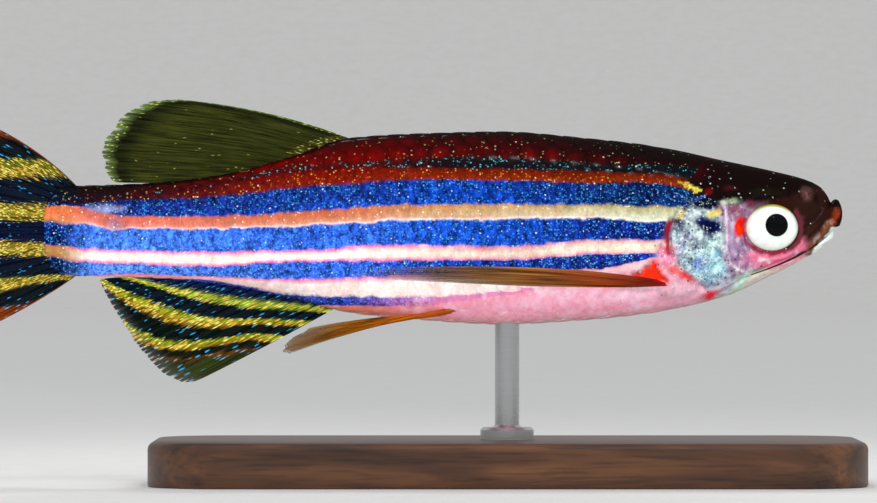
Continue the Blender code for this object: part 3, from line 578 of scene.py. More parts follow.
def tube_mesh(rows, around, place):
    """A closed mesh from a grid rolled into a tube; place(share, angle) gives each of its points."""
    bm = bmesh.new()
    bmesh.ops.create_grid(bm, x_segments=rows, y_segments=around, size=0.5)
    for vert in bm.verts:
        vert.co = at(*place(vert.co.x + 0.5, (vert.co.y + 0.5) * math.tau))
    bmesh.ops.remove_doubles(bm, verts=bm.verts, dist=WELD)
    bmesh.ops.holes_fill(bm, edges=[edge for edge in bm.edges if edge.is_boundary])
    bmesh.ops.triangulate(bm, faces=[face for face in bm.faces if len(face.verts) > 4])
    bmesh.ops.recalc_face_normals(bm, faces=bm.faces)
    return bm


def combine(target, operation, *pieces):
    """Applies one Boolean between the target and the pieces, and removes the pieces."""
    group = bpy.data.collections.new("pieces")
    for piece in pieces:
        group.objects.link(piece)
    modifier = target.modifiers.new(operation.title(), "BOOLEAN")
    modifier.operation = operation
    modifier.solver = "MANIFOLD"
    modifier.operand_type = "COLLECTION"
    modifier.collection = group
    graph = bpy.context.evaluated_depsgraph_get()
    target.data = bpy.data.meshes.new_from_object(target.evaluated_get(graph))
    target.modifiers.clear()
    if not target.data.polygons:
        raise RuntimeError(f"the Boolean left nothing of {target.name}")
    for piece in pieces:
        bpy.data.objects.remove(piece)
    bpy.data.collections.remove(group)
    return target


def sweep_mesh(path, radii, around, rows):
    """A round rod along path(share), with radii(share) giving its half thickness and half depth."""

    def place(share, angle):
        point = Vector(path(share))
        ahead = Vector(path(min(1.0, share + 0.01))) - Vector(path(max(0.0, share - 0.01)))
        thick = ahead.cross(Vector((0, 0, 1))).normalized()
        deep = thick.cross(ahead).normalized()
        half_thick, half_deep = radii(share)
        return point + thick * half_thick * math.cos(angle) + deep * half_deep * math.sin(angle)

    return tube_mesh(rows, around, place)


def lip(name, tip, corner, thick, deep, around=28, rows=64):
    """A lip, or the line between the lips, from the right corner round its tip to the left corner."""

    def path(share):
        turn = math.pi * share
        forward = math.sin(turn) ** 0.8
        distance = corner[0] + (tip[0] - corner[0]) * forward
        height = corner[1] + (tip[1] - corner[1]) * forward
        return distance, -MOUTH_HALF_WIDTH * math.cos(turn), height

    def radii(share):
        middle = math.sin(math.pi * share) ** 2
        return [ends + (tips - ends) * middle for tips, ends in (thick, deep)]

    return mesh_object(name, sweep_mesh(path, radii, around, rows))


def stripe_at(edges, distance, height, top, bottom):
    """Where a place lies across the stripes: the number of the stripe, then how far down it is."""
    count = len(edges[0]) - 1
    levels = [top, *(smooth(column_of(edges, k), distance) for k in range(1, count + 1)), bottom]
    for k in range(count + 1):
        if height >= levels[k + 1] or k == count:
            return k + min(1.0, max(0.0, (levels[k] - height) / max(WELD, levels[k] - levels[k + 1])))


def mark_cover(shape, first, second, third, soft, distance, height):
    """How far a marking covers a place, from 0 to 1."""
    if shape == "line":
        return 1 - fade(off_line(first, distance, height) / second, 1 - third, 1 + third)
    turn = math.radians(third)
    ahead, above = first[0] - distance, height - first[1]
    along = (ahead * math.cos(turn) + above * math.sin(turn)) / second[0]
    over = (above * math.cos(turn) - ahead * math.sin(turn)) / second[1]
    return 1 - fade(math.hypot(along, over), 1 - soft, 1 + soft * 0.5)


def near_mark(mark, distance, height):
    """True where a marking may reach, to skip the rest quickly."""
    if mark[0] == "line":
        return min(abs(distance - x) for x, _ in mark[1]) < 1.2
    reach = 1.5 * max(mark[2])
    return abs(distance - mark[1][0]) < reach and abs(height - mark[1][1]) < reach


def orbit_at(distance, height):
    """How far a place in side view is from the eye's centre, counted in the eye's own radii."""
    return math.hypot((distance - EYE_CENTRE[0]) / EYE_RADII[0], (height - EYE_CENTRE[2]) / EYE_RADII[2])


def paint_at(distance, height):
    """The head's colour at a place, how far it covers the stripes, its painted glints and its dark dots."""
    wander = sum(
        (noise_at.noise_vector(Vector((distance, height, 0.0)) * finer) * reach for finer, reach in PAINT_WANDER),
        Vector((0.0, 0.0, 0.0)),
    )
    distance, height = distance + wander.x, height + wander.y
    colour = Vector(srgb(HEAD_BASE)[:3])
    cover = 1 - fade(distance - smooth(COLOURS_MEET, height), -0.12, 0.12)
    painted_glints, dots = 0.1, 0.0
    for mark in (*HEAD_MARKS, *FLANK_MARKS):
        if not near_mark(mark, distance, height):
            continue
        if mark[0] == "line":
            shape, points, half_width, soft, shade, strength, bright, dark = mark
            share = mark_cover(shape, points, half_width, soft, soft, distance, height) * strength
        else:
            shape, centre, radii, lean, soft, shade, strength, bright, dark = mark
            share = mark_cover(shape, centre, radii, lean, soft, distance, height) * strength
        if share <= 0:
            continue
        colour = colour.lerp(Vector(srgb(shade)[:3]), share)
        painted_glints += (bright - painted_glints) * share
        dots += (dark - dots) * share
        if mark in FLANK_MARKS:
            cover = max(cover, share)
    return colour, cover, painted_glints, dots


def mark(piece, whole_head=False):
    """Stores on each point where it lies across the stripes, and the head's paint."""
    mesh = piece.data
    stripes, paints, flecks = [], [], []
    for vert in mesh.vertices:
        distance, side, height = place_of(vert.co)
        top, bottom = body(BACK, distance) + 0.02, body(BELLY, distance) - 0.02
        stripes.append(stripe_at(STRIPE_EDGES, distance, height, top, bottom) / STRIPES)
        if distance < PAINT_ENDS or distance > PAINT_STARTS_AGAIN:
            colour, cover, painted_glints, dots = paint_at(distance, height)
        else:
            colour, cover, painted_glints, dots = Vector((0.0, 0.0, 0.0)), 0.0, 0.0, 0.0
        paints.extend((*colour, 1.0 if whole_head else cover))
        # flecks holds each point's share of painted glints, and of dark dots.
        flecks.extend((painted_glints, dots, 0.0))
    mesh.attributes.new("stripe", "FLOAT", "POINT").data.foreach_set("value", stripes)
    mesh.attributes.new("paint", "FLOAT_COLOR", "POINT").data.foreach_set("color", paints)
    mesh.attributes.new("flecks", "FLOAT_VECTOR", "POINT").data.foreach_set("vector", flecks)


def relief(distance, height):
    """How far the head's bones and openings lift or sink its skin at a place in side view."""
    lift = 0.0
    for points, half_width, rise in HEAD_LINES:
        lift += rise * bell(off_line(points, distance, height) / half_width)
    for hole in NOSTRILS:
        away = math.hypot(distance - hole[0], height - hole[1]) / NOSTRIL_RADIUS
        lift += NOSTRIL_RIM * bell((away - 1.35) / 0.5) - NOSTRIL_DEPTH * (1 - fade(away, 0.5, 1.15))
    lift += ORBIT_RIM * bell((orbit_at(distance, height) - 1.26) / 0.11)
    return lift


def skin_station(share):
    """The skin's rows lie closest on the snout and close together on the whole head."""
    if share < HEAD_ROWS_SHARE:
        ahead = (share / HEAD_ROWS_SHARE) ** SNOUT_CROWDING
        return SNOUT_START + (HEAD_END - SNOUT_START) * ahead
    behind = (share - HEAD_ROWS_SHARE) / (1 - HEAD_ROWS_SHARE)
    return HEAD_END + (SKIN_END - HEAD_END) * behind


def skin():
    """One skin from the lips to the tail fin, with the eye sockets, nostrils and bones of the head."""

    def place(share, angle):
        return body_place(skin_station(share), angle)

    bm = tube_mesh(SKIN_ROWS, SKIN_AROUND, place)
    bm.normal_update()
    moved = []
    for vert in bm.verts:
        distance, side, height = place_of(vert.co)
        if distance > HEAD_END:
            moved.append((vert, vert.co - vert.normal * 0.02 * MM))
            continue
        lifted = vert.co + vert.normal * relief(distance, height) * MM
        around = orbit_at(distance, height)
        if around < ORBIT_OUTER and abs(side) > 0.3:
            turned = (distance - EYE_CENTRE[0]) * math.tan(EYE_TURN)
            level = EYE_CENTRE[1] + turned + (SOCKET_LEVEL if around > 0.9 else SOCKET_FLOOR)
            share = fade(around, ORBIT_INNER, ORBIT_OUTER)
            new_side = level + (abs(lifted.y) / MM - level) * share
            lifted.y = math.copysign(min(abs(lifted.y), new_side * MM), side)
        moved.append((vert, lifted))
    for vert, co in moved:
        vert.co = co
    made = mesh_object("skin", bm)
    combine(made, "UNION", lip("upper_lip", **UPPER_LIP), lip("lower_lip", **LOWER_LIP))
    combine(made, "DIFFERENCE", lip("mouth_line", **MOUTH_LINE))
    bm = bmesh.new()
    bm.from_mesh(made.data)
    around_mouth = []
    for vert in bm.verts:
        distance, _, height = place_of(vert.co)
        if distance < MOUTH_SOFT_END and height < MOUTH_SOFT_TOP and orbit_at(distance, height) > ORBIT_OUTER:
            around_mouth.append(vert)
    for _ in range(MOUTH_SOFTENING):
        bmesh.ops.smooth_vert(
            bm, verts=around_mouth, factor=0.5, use_axis_x=True, use_axis_y=True, use_axis_z=True
        )
    bm.to_mesh(made.data)
    bm.free()
    made.data.shade_smooth()
    made.data.set_sharp_from_angle(angle=math.radians(60))
    mark(made)
    return made


def rounded_outline(corners, steps=12):
    """A closed smooth outline through the corners."""
    outline = []
    for i in range(len(corners)):
        before, start, end, after = (Vector(corners[(i + k) % len(corners)]) for k in (-1, 0, 1, 2))
        for step in range(steps):
            t = step / steps
            bend = (2 * before - 5 * start + 4 * end - after) * t * t
            twist = (3 * start - before - 3 * end + after) * t**3
            outline.append(start + ((end - before) * t + bend + twist) / 2)
    return outline


def gill_cover(word, side, rings=22):
    """A thin bony plate that follows the head's side, with a rounded edge and a free rear rim."""
    outline = rounded_outline(GILL_COVER)
    around = len(outline)
    middle = Vector(COVER_MIDDLE)
    bm = bmesh.new()
    bmesh.ops.create_grid(bm, x_segments=rings, y_segments=around, size=0.5)
    first_face = set(bm.verts)
    bmesh.ops.extrude_face_region(bm, geom=bm.faces[:], use_keep_orig=True)
    for vert in bm.verts:
        share, turn = vert.co.x + 0.5, round((vert.co.y + 0.5) * around) % around
        distance, height = middle.lerp(outline[turn], share)
        out = side_at(distance, height)
        if vert in first_face:
            groove = 0.05 * bell(off_line(COVER_GROOVE, distance, height) / 0.07)
            free = fade(distance, *COVER_RISES)
            out += (COVER_EDGE_LIFT + COVER_LIFT * (1 - share**7)) * free - COVER_FRONT_SUNK * (1 - free) - groove
        else:
            out -= COVER_SUNK
        vert.co = at(distance, side * out, height)
    bmesh.ops.remove_doubles(bm, verts=bm.verts, dist=WELD)
    made = mesh_object(f"gill_plate_{word}", bm)
    mark(made, whole_head=True)
    return made


def eye(word, side):
    """An eyeball with a domed pupil and a slightly dished iris."""
    bm = bmesh.new()
    bmesh.ops.create_uvsphere(bm, u_segments=112, v_segments=72, radius=1.0)
    bmesh.ops.rotate(bm, verts=bm.verts, matrix=Matrix.Rotation(math.pi / 2, 3, "X"))
    bmesh.ops.scale(bm, verts=bm.verts, vec=EYE_RADII)
    turn = Matrix.Rotation(-side * EYE_TURN, 3, "Z")
    bmesh.ops.rotate(bm, verts=bm.verts, matrix=turn)
    distance, out, height = EYE_CENTRE
    centre = Vector((ROD_DISTANCE - distance, side * out, AXIS_HEIGHT + height))
    for vert in bm.verts:
        outwards = vert.co.y * side > 0
        from_pupil = math.hypot(
            distance - vert.co.x - PUPIL["distance"], vert.co.z + height - PUPIL["height"]
        )
        ring = from_pupil / PUPIL["radius"]
        if outwards:
            dome = PUPIL["dome"] * math.sqrt(max(0.0, 1 - ring**2))
            dish = -0.03 * bell((ring - 1.35) / 0.25)
            vert.co.y += side * (dome + dish)
        vert.co = (vert.co + centre) * MM
    made = mesh_object(f"eyeball_{word}", bm)
    rings = []
    for vert in made.data.vertices:
        distance, _, height = place_of(vert.co)
        from_pupil = math.hypot(distance - PUPIL["distance"], height - PUPIL["height"]) / PUPIL["radius"]
        rings.extend((from_pupil, orbit_at(distance, height), height / EYE_RADII[2]))
    made.data.attributes.new("rings", "FLOAT_VECTOR", "POINT").data.foreach_set("vector", rings)
    return made


def barbels():
    """Four feelers, two at the snout and two at the corners of the mouth."""
    whole = bmesh.new()
    for side in SIDES.values():
        for points in (SNOUT_BARBEL, MOUTH_BARBEL):
            root, middle, tip = (
                Vector((distance, side * (side_at(distance, height) + clear), height))
                for distance, height, clear in points
            )

            def path(share):
                return root * (1 - share) ** 2 + middle * 2 * share * (1 - share) + tip * share**2

            def radii(share):
                radius = BARBEL_RADII[0] + (BARBEL_RADII[1] - BARBEL_RADII[0]) * share
                return radius, radius

            piece = sweep_mesh(path, radii, 12, 24)
            mesh = bpy.data.meshes.new("barbel")
            piece.to_mesh(mesh)
            piece.free()
            whole.from_mesh(mesh)
            bpy.data.meshes.remove(mesh)
    return mesh_object("barbels", whole)


def scale_coat(word, side):
    """Overlapping scales from behind the gill opening to the tail fin, each a thin rising cap."""
    draw = random.Random(SEED + side)
    row_turn = math.pi / SCALE_ROWS
    whole = bmesh.new()
    place_on_unwrap = whole.loops.layers.uv.new("OFBake")
    edge_layer = whole.verts.layers.float.new("free_edge")
    heart_layer = whole.verts.layers.float.new("heart")
    tint_layer = whole.verts.layers.float.new("tint")
    distance, column = FIRST_SCALE, 0
    while distance < LAST_SCALE:
        reach = (distance - FIRST_SCALE) / (LAST_SCALE - FIRST_SCALE)
        period = SCALE_PERIOD + (SCALE_PERIOD_AT_TAIL - SCALE_PERIOD) * reach
        length = SCALE_LENGTH * period / SCALE_PERIOD
        for row in range(SCALE_ROWS + 1):
            angle = math.pi / 2 - row_turn * row
            root = distance + period * 0.5 * (row % 2) + draw.uniform(-0.03, 0.03)
            middle = body_place(root + length / 2, angle)
            if root < smooth(GILL_OPENING, middle.z) + 0.02 or root + length > LAST_SCALE_END:
                continue
            half_turn = row_turn * SCALE_WIDTH_SHARE / 2
            tint = draw.random()
            flat_above, flat_below = fade(angle, 1.5, 0.9), fade(angle, -1.4, -0.5)
            lift = SCALE_LIFT * draw.uniform(0.75, 1.2) * (0.35 + 0.65 * flat_above * flat_below)
            made = bmesh.ops.create_grid(whole, x_segments=SCALE_GRID, y_segments=SCALE_GRID, size=1.0)
            top = made["verts"]
            faces = list({face for vert in top for face in vert.link_faces})
            extruded = bmesh.ops.extrude_face_region(whole, geom=faces, use_keep_orig=True)["geom"]
            under = {item for item in extruded if isinstance(item, bmesh.types.BMVert)}
            local = {}
            for vert in [*top, *under]:
                u, v = vert.co.x, vert.co.y
                along = u * math.sqrt(1 - v * v / 2)
                across = v * math.sqrt(1 - u * u / 2)
                local[vert] = (along, across)
                place = root + length * (along + 1) / 2
                turn = angle + half_turn * across
                point = body_place(place, turn)
                ahead = body_place(place + 0.02, turn) - point
                round_body = body_place(place, turn + 0.02) - point
                out = round_body.cross(ahead).normalized()
                ring = min(1.0, math.hypot(along, across))
                if vert in under:
                    height = SCALE_UNDER + (lift - SCALE_UNDER - 0.022) * fade(along, -0.6, 1.0)
                else:
                    height = SCALE_ROOT + (lift - SCALE_ROOT) * fade(along, -1.1, 0.9)
                    height += SCALE_DOME * (1 - ring**2)
                vert.co = at(*(point + out * height))
                vert[edge_layer] = ring * fade(along, -0.2, 0.6)
                vert[heart_layer] = bell(math.hypot(along - 0.35, across) / 0.48)
                vert[tint_layer] = tint
            share = (root - FIRST_SCALE) / (SKIN_END - FIRST_SCALE)
            centre_u, centre_v = 0.05 + 0.9 * share, 0.5 - UNWRAP_TURN * (row / SCALE_ROWS - 0.5) * 2
            for face in {face for vert in local for face in vert.link_faces}:
                for loop in face.loops:
                    along, across = local[loop.vert]
                    loop[place_on_unwrap].uv = (centre_u + along * PATCH / 2, centre_v + across * PATCH / 2)
        distance += period
        column += 1
    if side == RIGHT:
        for vert in whole.verts:
            vert.co.y = -vert.co.y
    made = mesh_object(f"scales_{word}", whole)
    mark(made)
    return made


def ray_ridge(across, along, rays):
    """How far the fin rays stand up there, from 0 to 1. Each ray forks twice on its way out."""
    offset = (across * rays) % 1.0 - 0.5
    first = 0.25 * fade(along, FIRST_FORK, 1.15)
    second = 0.11 * fade(along, SECOND_FORK, 1.10)
    heights = [
        bell((offset - first * way - second * turn) / RAY_HALF_WIDTH) for way in (-1, 1) for turn in (-1, 1)
    ]
    return max(heights)


def fin(name, rays, root, tips, bows, band_at, side=LEFT, seed=0):
    """A thin membrane on forked rays, thinner and softly notched towards its outer edge."""

    def middle_layer(across, along):
        start, end = Vector(root(across)), smooth_point(tips, across)
        notch = EDGE_NOTCH * (1 - ray_ridge(across, 1.0, rays))
        wave = 0.018 * noise_at.noise(Vector((across * rays * 0.9, seed, 3.0)))
        end = start + (end - start) * (0.985 - notch + wave)
        bend = (start + end) / 2 + smooth_point(bows, across)
        point = start * (1 - along) ** 2 + bend * 2 * along * (1 - along) + end * along**2
        return Vector((point.x, side * point.y, point.z))

    columns = rays * COLUMNS_PER_RAY
    bm = bmesh.new()
    bmesh.ops.create_grid(bm, x_segments=columns, y_segments=FIN_ROWS, size=0.5)
    bmesh.ops.triangulate(bm, faces=bm.faces, quad_method="FIXED")
    ray_map = bm.loops.layers.uv.new("rays")
    band_layer = bm.verts.layers.float.new("band")
    ridge_layer = bm.verts.layers.float.new("ridge")
    reach_layer = bm.verts.layers.float.new("reach")
    for face in bm.faces:
        for loop in face.loops:
            loop[ray_map].uv = (loop.vert.co.x + 0.5, loop.vert.co.y + 0.5)
    first_face = set(bm.verts)
    bmesh.ops.extrude_face_region(bm, geom=bm.faces[:], use_keep_orig=True)
    layer = {}
    for vert in bm.verts:
        across, along = round((vert.co.x + 0.5) * columns), round((vert.co.y + 0.5) * FIN_ROWS)
        if (across, along) not in layer:
            layer[across, along] = middle_layer(across / columns, along / FIN_ROWS)
    for vert in bm.verts:
        column, row = round((vert.co.x + 0.5) * columns), round((vert.co.y + 0.5) * FIN_ROWS)
        across, along = column / columns, row / FIN_ROWS
        sideways = layer[min(column + 1, columns), row] - layer[max(column - 1, 0), row]
        outwards = layer[column, min(row + 1, FIN_ROWS)] - layer[column, max(row - 1, 0)]
        ridge = ray_ridge(across, along, rays)
        spacing = sideways.length / (min(column + 1, columns) - max(column - 1, 0)) * COLUMNS_PER_RAY
        thick = MEMBRANE + min(RAY_HEIGHT, spacing * 0.4) * ridge
        thick *= (1 + ROOT_SWELL * (1 - along) ** 3) * (1 - (1 - TIP_SHARE) * along**2)
        offset = sideways.cross(outwards).normalized() * thick / 2
        point = layer[column, row]
        vert.co = at(*(point + offset * (1 if vert in first_face else -1)))
        vert[band_layer] = band_at(across, along, point.x, point.z)
        vert[ridge_layer] = ridge
        vert[reach_layer] = along
    return mesh_object(name, bm, sharp_angle=70)


# Heights of the edges between the tail fin's stripes, from the top down.
TAIL_EDGES = (
    (35.1, 3.60, 3.10, 2.20, 1.12, 0.28, -0.62, -1.42, -2.05, -2.35, -3.20),
    (37.8, 4.15, 3.13, 2.15, 1.19, 0.28, -0.52, -1.32, -2.22, -2.92, -3.68),
    (43.0, 6.00, 4.75, 3.10, 1.85, 0.60, -0.85, -2.00, -3.30, -4.70, -5.95),
)
# The same for the anal fin, from its base down.
ANAL_EDGES = (
    (22.9, -3.60, -3.85, -4.20, -4.60, -5.10, -5.60, -6.10),
    (24.8, -3.35, -3.75, -4.10, -4.45, -4.85, -5.30, -5.75),
    (26.6, -3.20, -3.65, -4.08, -4.38, -4.72, -5.08, -5.55),
    (28.1, -2.97, -3.44, -4.02, -4.56, -4.98, -5.34, -5.75),
    (29.7, -2.72, -3.08, -3.68, -4.45, -5.08, -5.55, -5.98),
    (31.3, -2.34, -2.56, -3.12, -3.93, -4.70, -5.30, -5.80),
    (32.6, -1.98, -2.20, -2.58, -3.12, -3.78, -4.47, -5.05),
    (33.3, -1.75, -1.95, -2.18, -2.58, -3.17, -3.75, -4.27),
)
TAIL_BANDS, ANAL_BANDS, DORSAL_BANDS, PAIRED_BANDS = 11, 8, 5, 4


def fins():
    """The single fins stand on the middle of the body, and the paired ones on its sides."""

    def on_back(share):
        distance = DORSAL_BASE[0] + (DORSAL_BASE[1] - DORSAL_BASE[0]) * share
        return distance, 0, body(BACK, distance) - ROOT_DEPTH

    def on_belly(share):
        distance = ANAL_BASE[0] + (ANAL_BASE[1] - ANAL_BASE[0]) * share
        return distance, 0, body(BELLY, distance) + ROOT_DEPTH

    def lobe_root(direction):
        outer = TAIL_MIDDLE + direction * TAIL_ROOT_HALF_HEIGHT
        inner = TAIL_MIDDLE - direction * LOBES_OVERLAP
        return lambda share: (TAIL_ROOT, 0, outer + (inner - outer) * share)

    def behind_gills(share):
        (first, low), (last, high) = PECTORAL_BASE
        distance, height = first + (last - first) * share, low + (high - low) * share
        return distance - 0.1, side_at(distance, height) - PECTORAL_ROOT_DEPTH, height

    def under_belly(share):
        (first, outer), (last, inner) = PELVIC_BASE
        distance, side = first + (last - first) * share, outer + (inner - outer) * share
        return distance, side, belly_at(distance, side) + ROOT_DEPTH

    def tail_band(across, along, distance, height):
        spot = stripe_at(TAIL_EDGES, distance, height, height + 0.5, height - 0.5)
        rim = max(0.0, 1 - across / 0.014)
        if rim > 0:
            spot = 0.5 if height > TAIL_MIDDLE else 10.5
        return spot / TAIL_BANDS

    def anal_band(across, along, distance, height):
        return stripe_at(ANAL_EDGES, distance, height, height + 0.5, height - 0.5) / ANAL_BANDS

    def dorsal_band(across, along, distance, height):
        if along < 0.14 and across < 0.45:
            return 4.7 / DORSAL_BANDS
        margin = min((1 - along) / 0.055, (across + 0.012) / 0.035)
        return min(3.9, max(0.0, margin)) / DORSAL_BANDS

    def paired_band(across, along, distance, height):
        return min(3.9, along * 4) / PAIRED_BANDS

    upper = (lobe_root(1), UPPER_LOBE_TIPS, UPPER_LOBE_BOWS, tail_band)
    lower = (lobe_root(-1), LOWER_LOBE_TIPS, LOWER_LOBE_BOWS, tail_band)
    made = {
        "fin_dorsal": fin("dorsal_rays", 9, on_back, DORSAL_TIPS, DORSAL_BOWS, dorsal_band, seed=1),
        "fin_anal": fin("anal_rays", 14, on_belly, ANAL_TIPS, ANAL_BOWS, anal_band, seed=2),
        "fin_tail_upper": fin("tail_rays_upper", 9, *upper, seed=3),
        "fin_tail_lower": fin("tail_rays_lower", 9, *lower, seed=4),
    }
    for word, side in SIDES.items():
        pectoral = (behind_gills, PECTORAL_TIPS, PECTORAL_BOWS, paired_band, side)
        pelvic = (under_belly, PELVIC_TIPS, PELVIC_BOWS, paired_band, side)
        made[f"fin_pectoral_{word}"] = fin(f"pectoral_rays_{word}", 11, *pectoral, seed=5)
        made[f"fin_pelvic_{word}"] = fin(f"pelvic_rays_{word}", 7, *pelvic, seed=6)
    return made


def stand():
    """An oiled wooden base with rounded corners, and a steel rod with a collar up to the belly."""
    bm = bmesh.new()
    bmesh.ops.create_cube(bm, size=MM)
    bmesh.ops.scale(bm, verts=bm.verts, vec=BASE_SIZE)
    bmesh.ops.translate(bm, verts=bm.verts, vec=(0, 0, BASE_SIZE[2] * MM / 2))
    upright = [edge for edge in bm.edges if abs(edge.verts[0].co.z - edge.verts[1].co.z) > WELD]
    bmesh.ops.bevel(
        bm, geom=upright, offset=BASE_CORNER * MM, affect="EDGES", segments=16, profile=0.5, material=-1
    )
    rim = [edge for edge in bm.edges if min(v.co.z for v in edge.verts) > BASE_SIZE[2] * MM - WELD]
    bmesh.ops.bevel(
        bm, geom=rim, offset=BASE_CHAMFER * MM, affect="EDGES", segments=5, profile=0.5, material=-1
    )
    foot = [edge for edge in bm.edges if max(v.co.z for v in edge.verts) < WELD]
    bmesh.ops.bevel(bm, geom=foot, offset=0.1 * MM, affect="EDGES", segments=2, profile=0.5, material=-1)
    base = mesh_object("stand_plinth", bm, sharp_angle=35)
    top = AXIS_HEIGHT + belly_at(ROD_DISTANCE, 0) + 0.12
    rod_radius, collar_radius = ROD_DIAMETER / 2, COLLAR_DIAMETER / 2
    low = BASE_SIZE[2] - 0.3
    profile = (
        (0.0, low),
        (collar_radius, low),
        (collar_radius, BASE_SIZE[2] + COLLAR_HEIGHT - 0.12),
        (collar_radius - 0.12, BASE_SIZE[2] + COLLAR_HEIGHT),
        (rod_radius + 0.10, BASE_SIZE[2] + COLLAR_HEIGHT),
        (rod_radius, BASE_SIZE[2] + COLLAR_HEIGHT + 0.10),
        (rod_radius, top),
        (0.0, top),
    )
    bm = bmesh.new()
    points = [bm.verts.new((radius * MM, 0, height * MM)) for radius, height in profile]
    edges = [bm.edges.new(pair) for pair in zip(points, points[1:])]
    bmesh.ops.spin(
        bm, geom=[*points, *edges], axis=(0, 0, 1), cent=(0, 0, 0), angle=math.tau, steps=48, use_merge=True
    )
    bmesh.ops.remove_doubles(bm, verts=bm.verts, dist=WELD)
    return base, mesh_object("stand_post", bm, sharp_angle=35)


def add(tree, kind, inputs=None, stops=None, **settings):
    """Adds a node with its settings. An input is given a value, or a socket to link to it."""
    node = tree.nodes.new(kind)
    for name, value in settings.items():
        setattr(node, name, value)
    for name, value in (inputs or {}).items():
        if isinstance(value, bpy.types.NodeSocket):
            tree.links.new(value, node.inputs[name])
        else:
            node.inputs[name].default_value = value
    if stops:
        elements = node.color_ramp.elements
        while len(elements) < len(stops):
            elements.new(0.5)
        for element, (position, colour) in zip(elements, stops):
            element.position = position
            element.color = colour
    return node


def new_material(name, **values):
    """A material with its Principled shader, whose even values are set on its own sockets."""
    material = bpy.data.materials.new(name)
    material.use_nodes = True
    tree = material.node_tree
    shader = tree.nodes["Principled BSDF"]
    for socket, value in values.items():
        shader.inputs[socket.replace("_", " ")].default_value = value
    return material, tree, shader


def per_mm(size):
    """The scale of a pattern on Object coordinates whose cells measure that many millimetres."""
    return 1 / (size * MM)


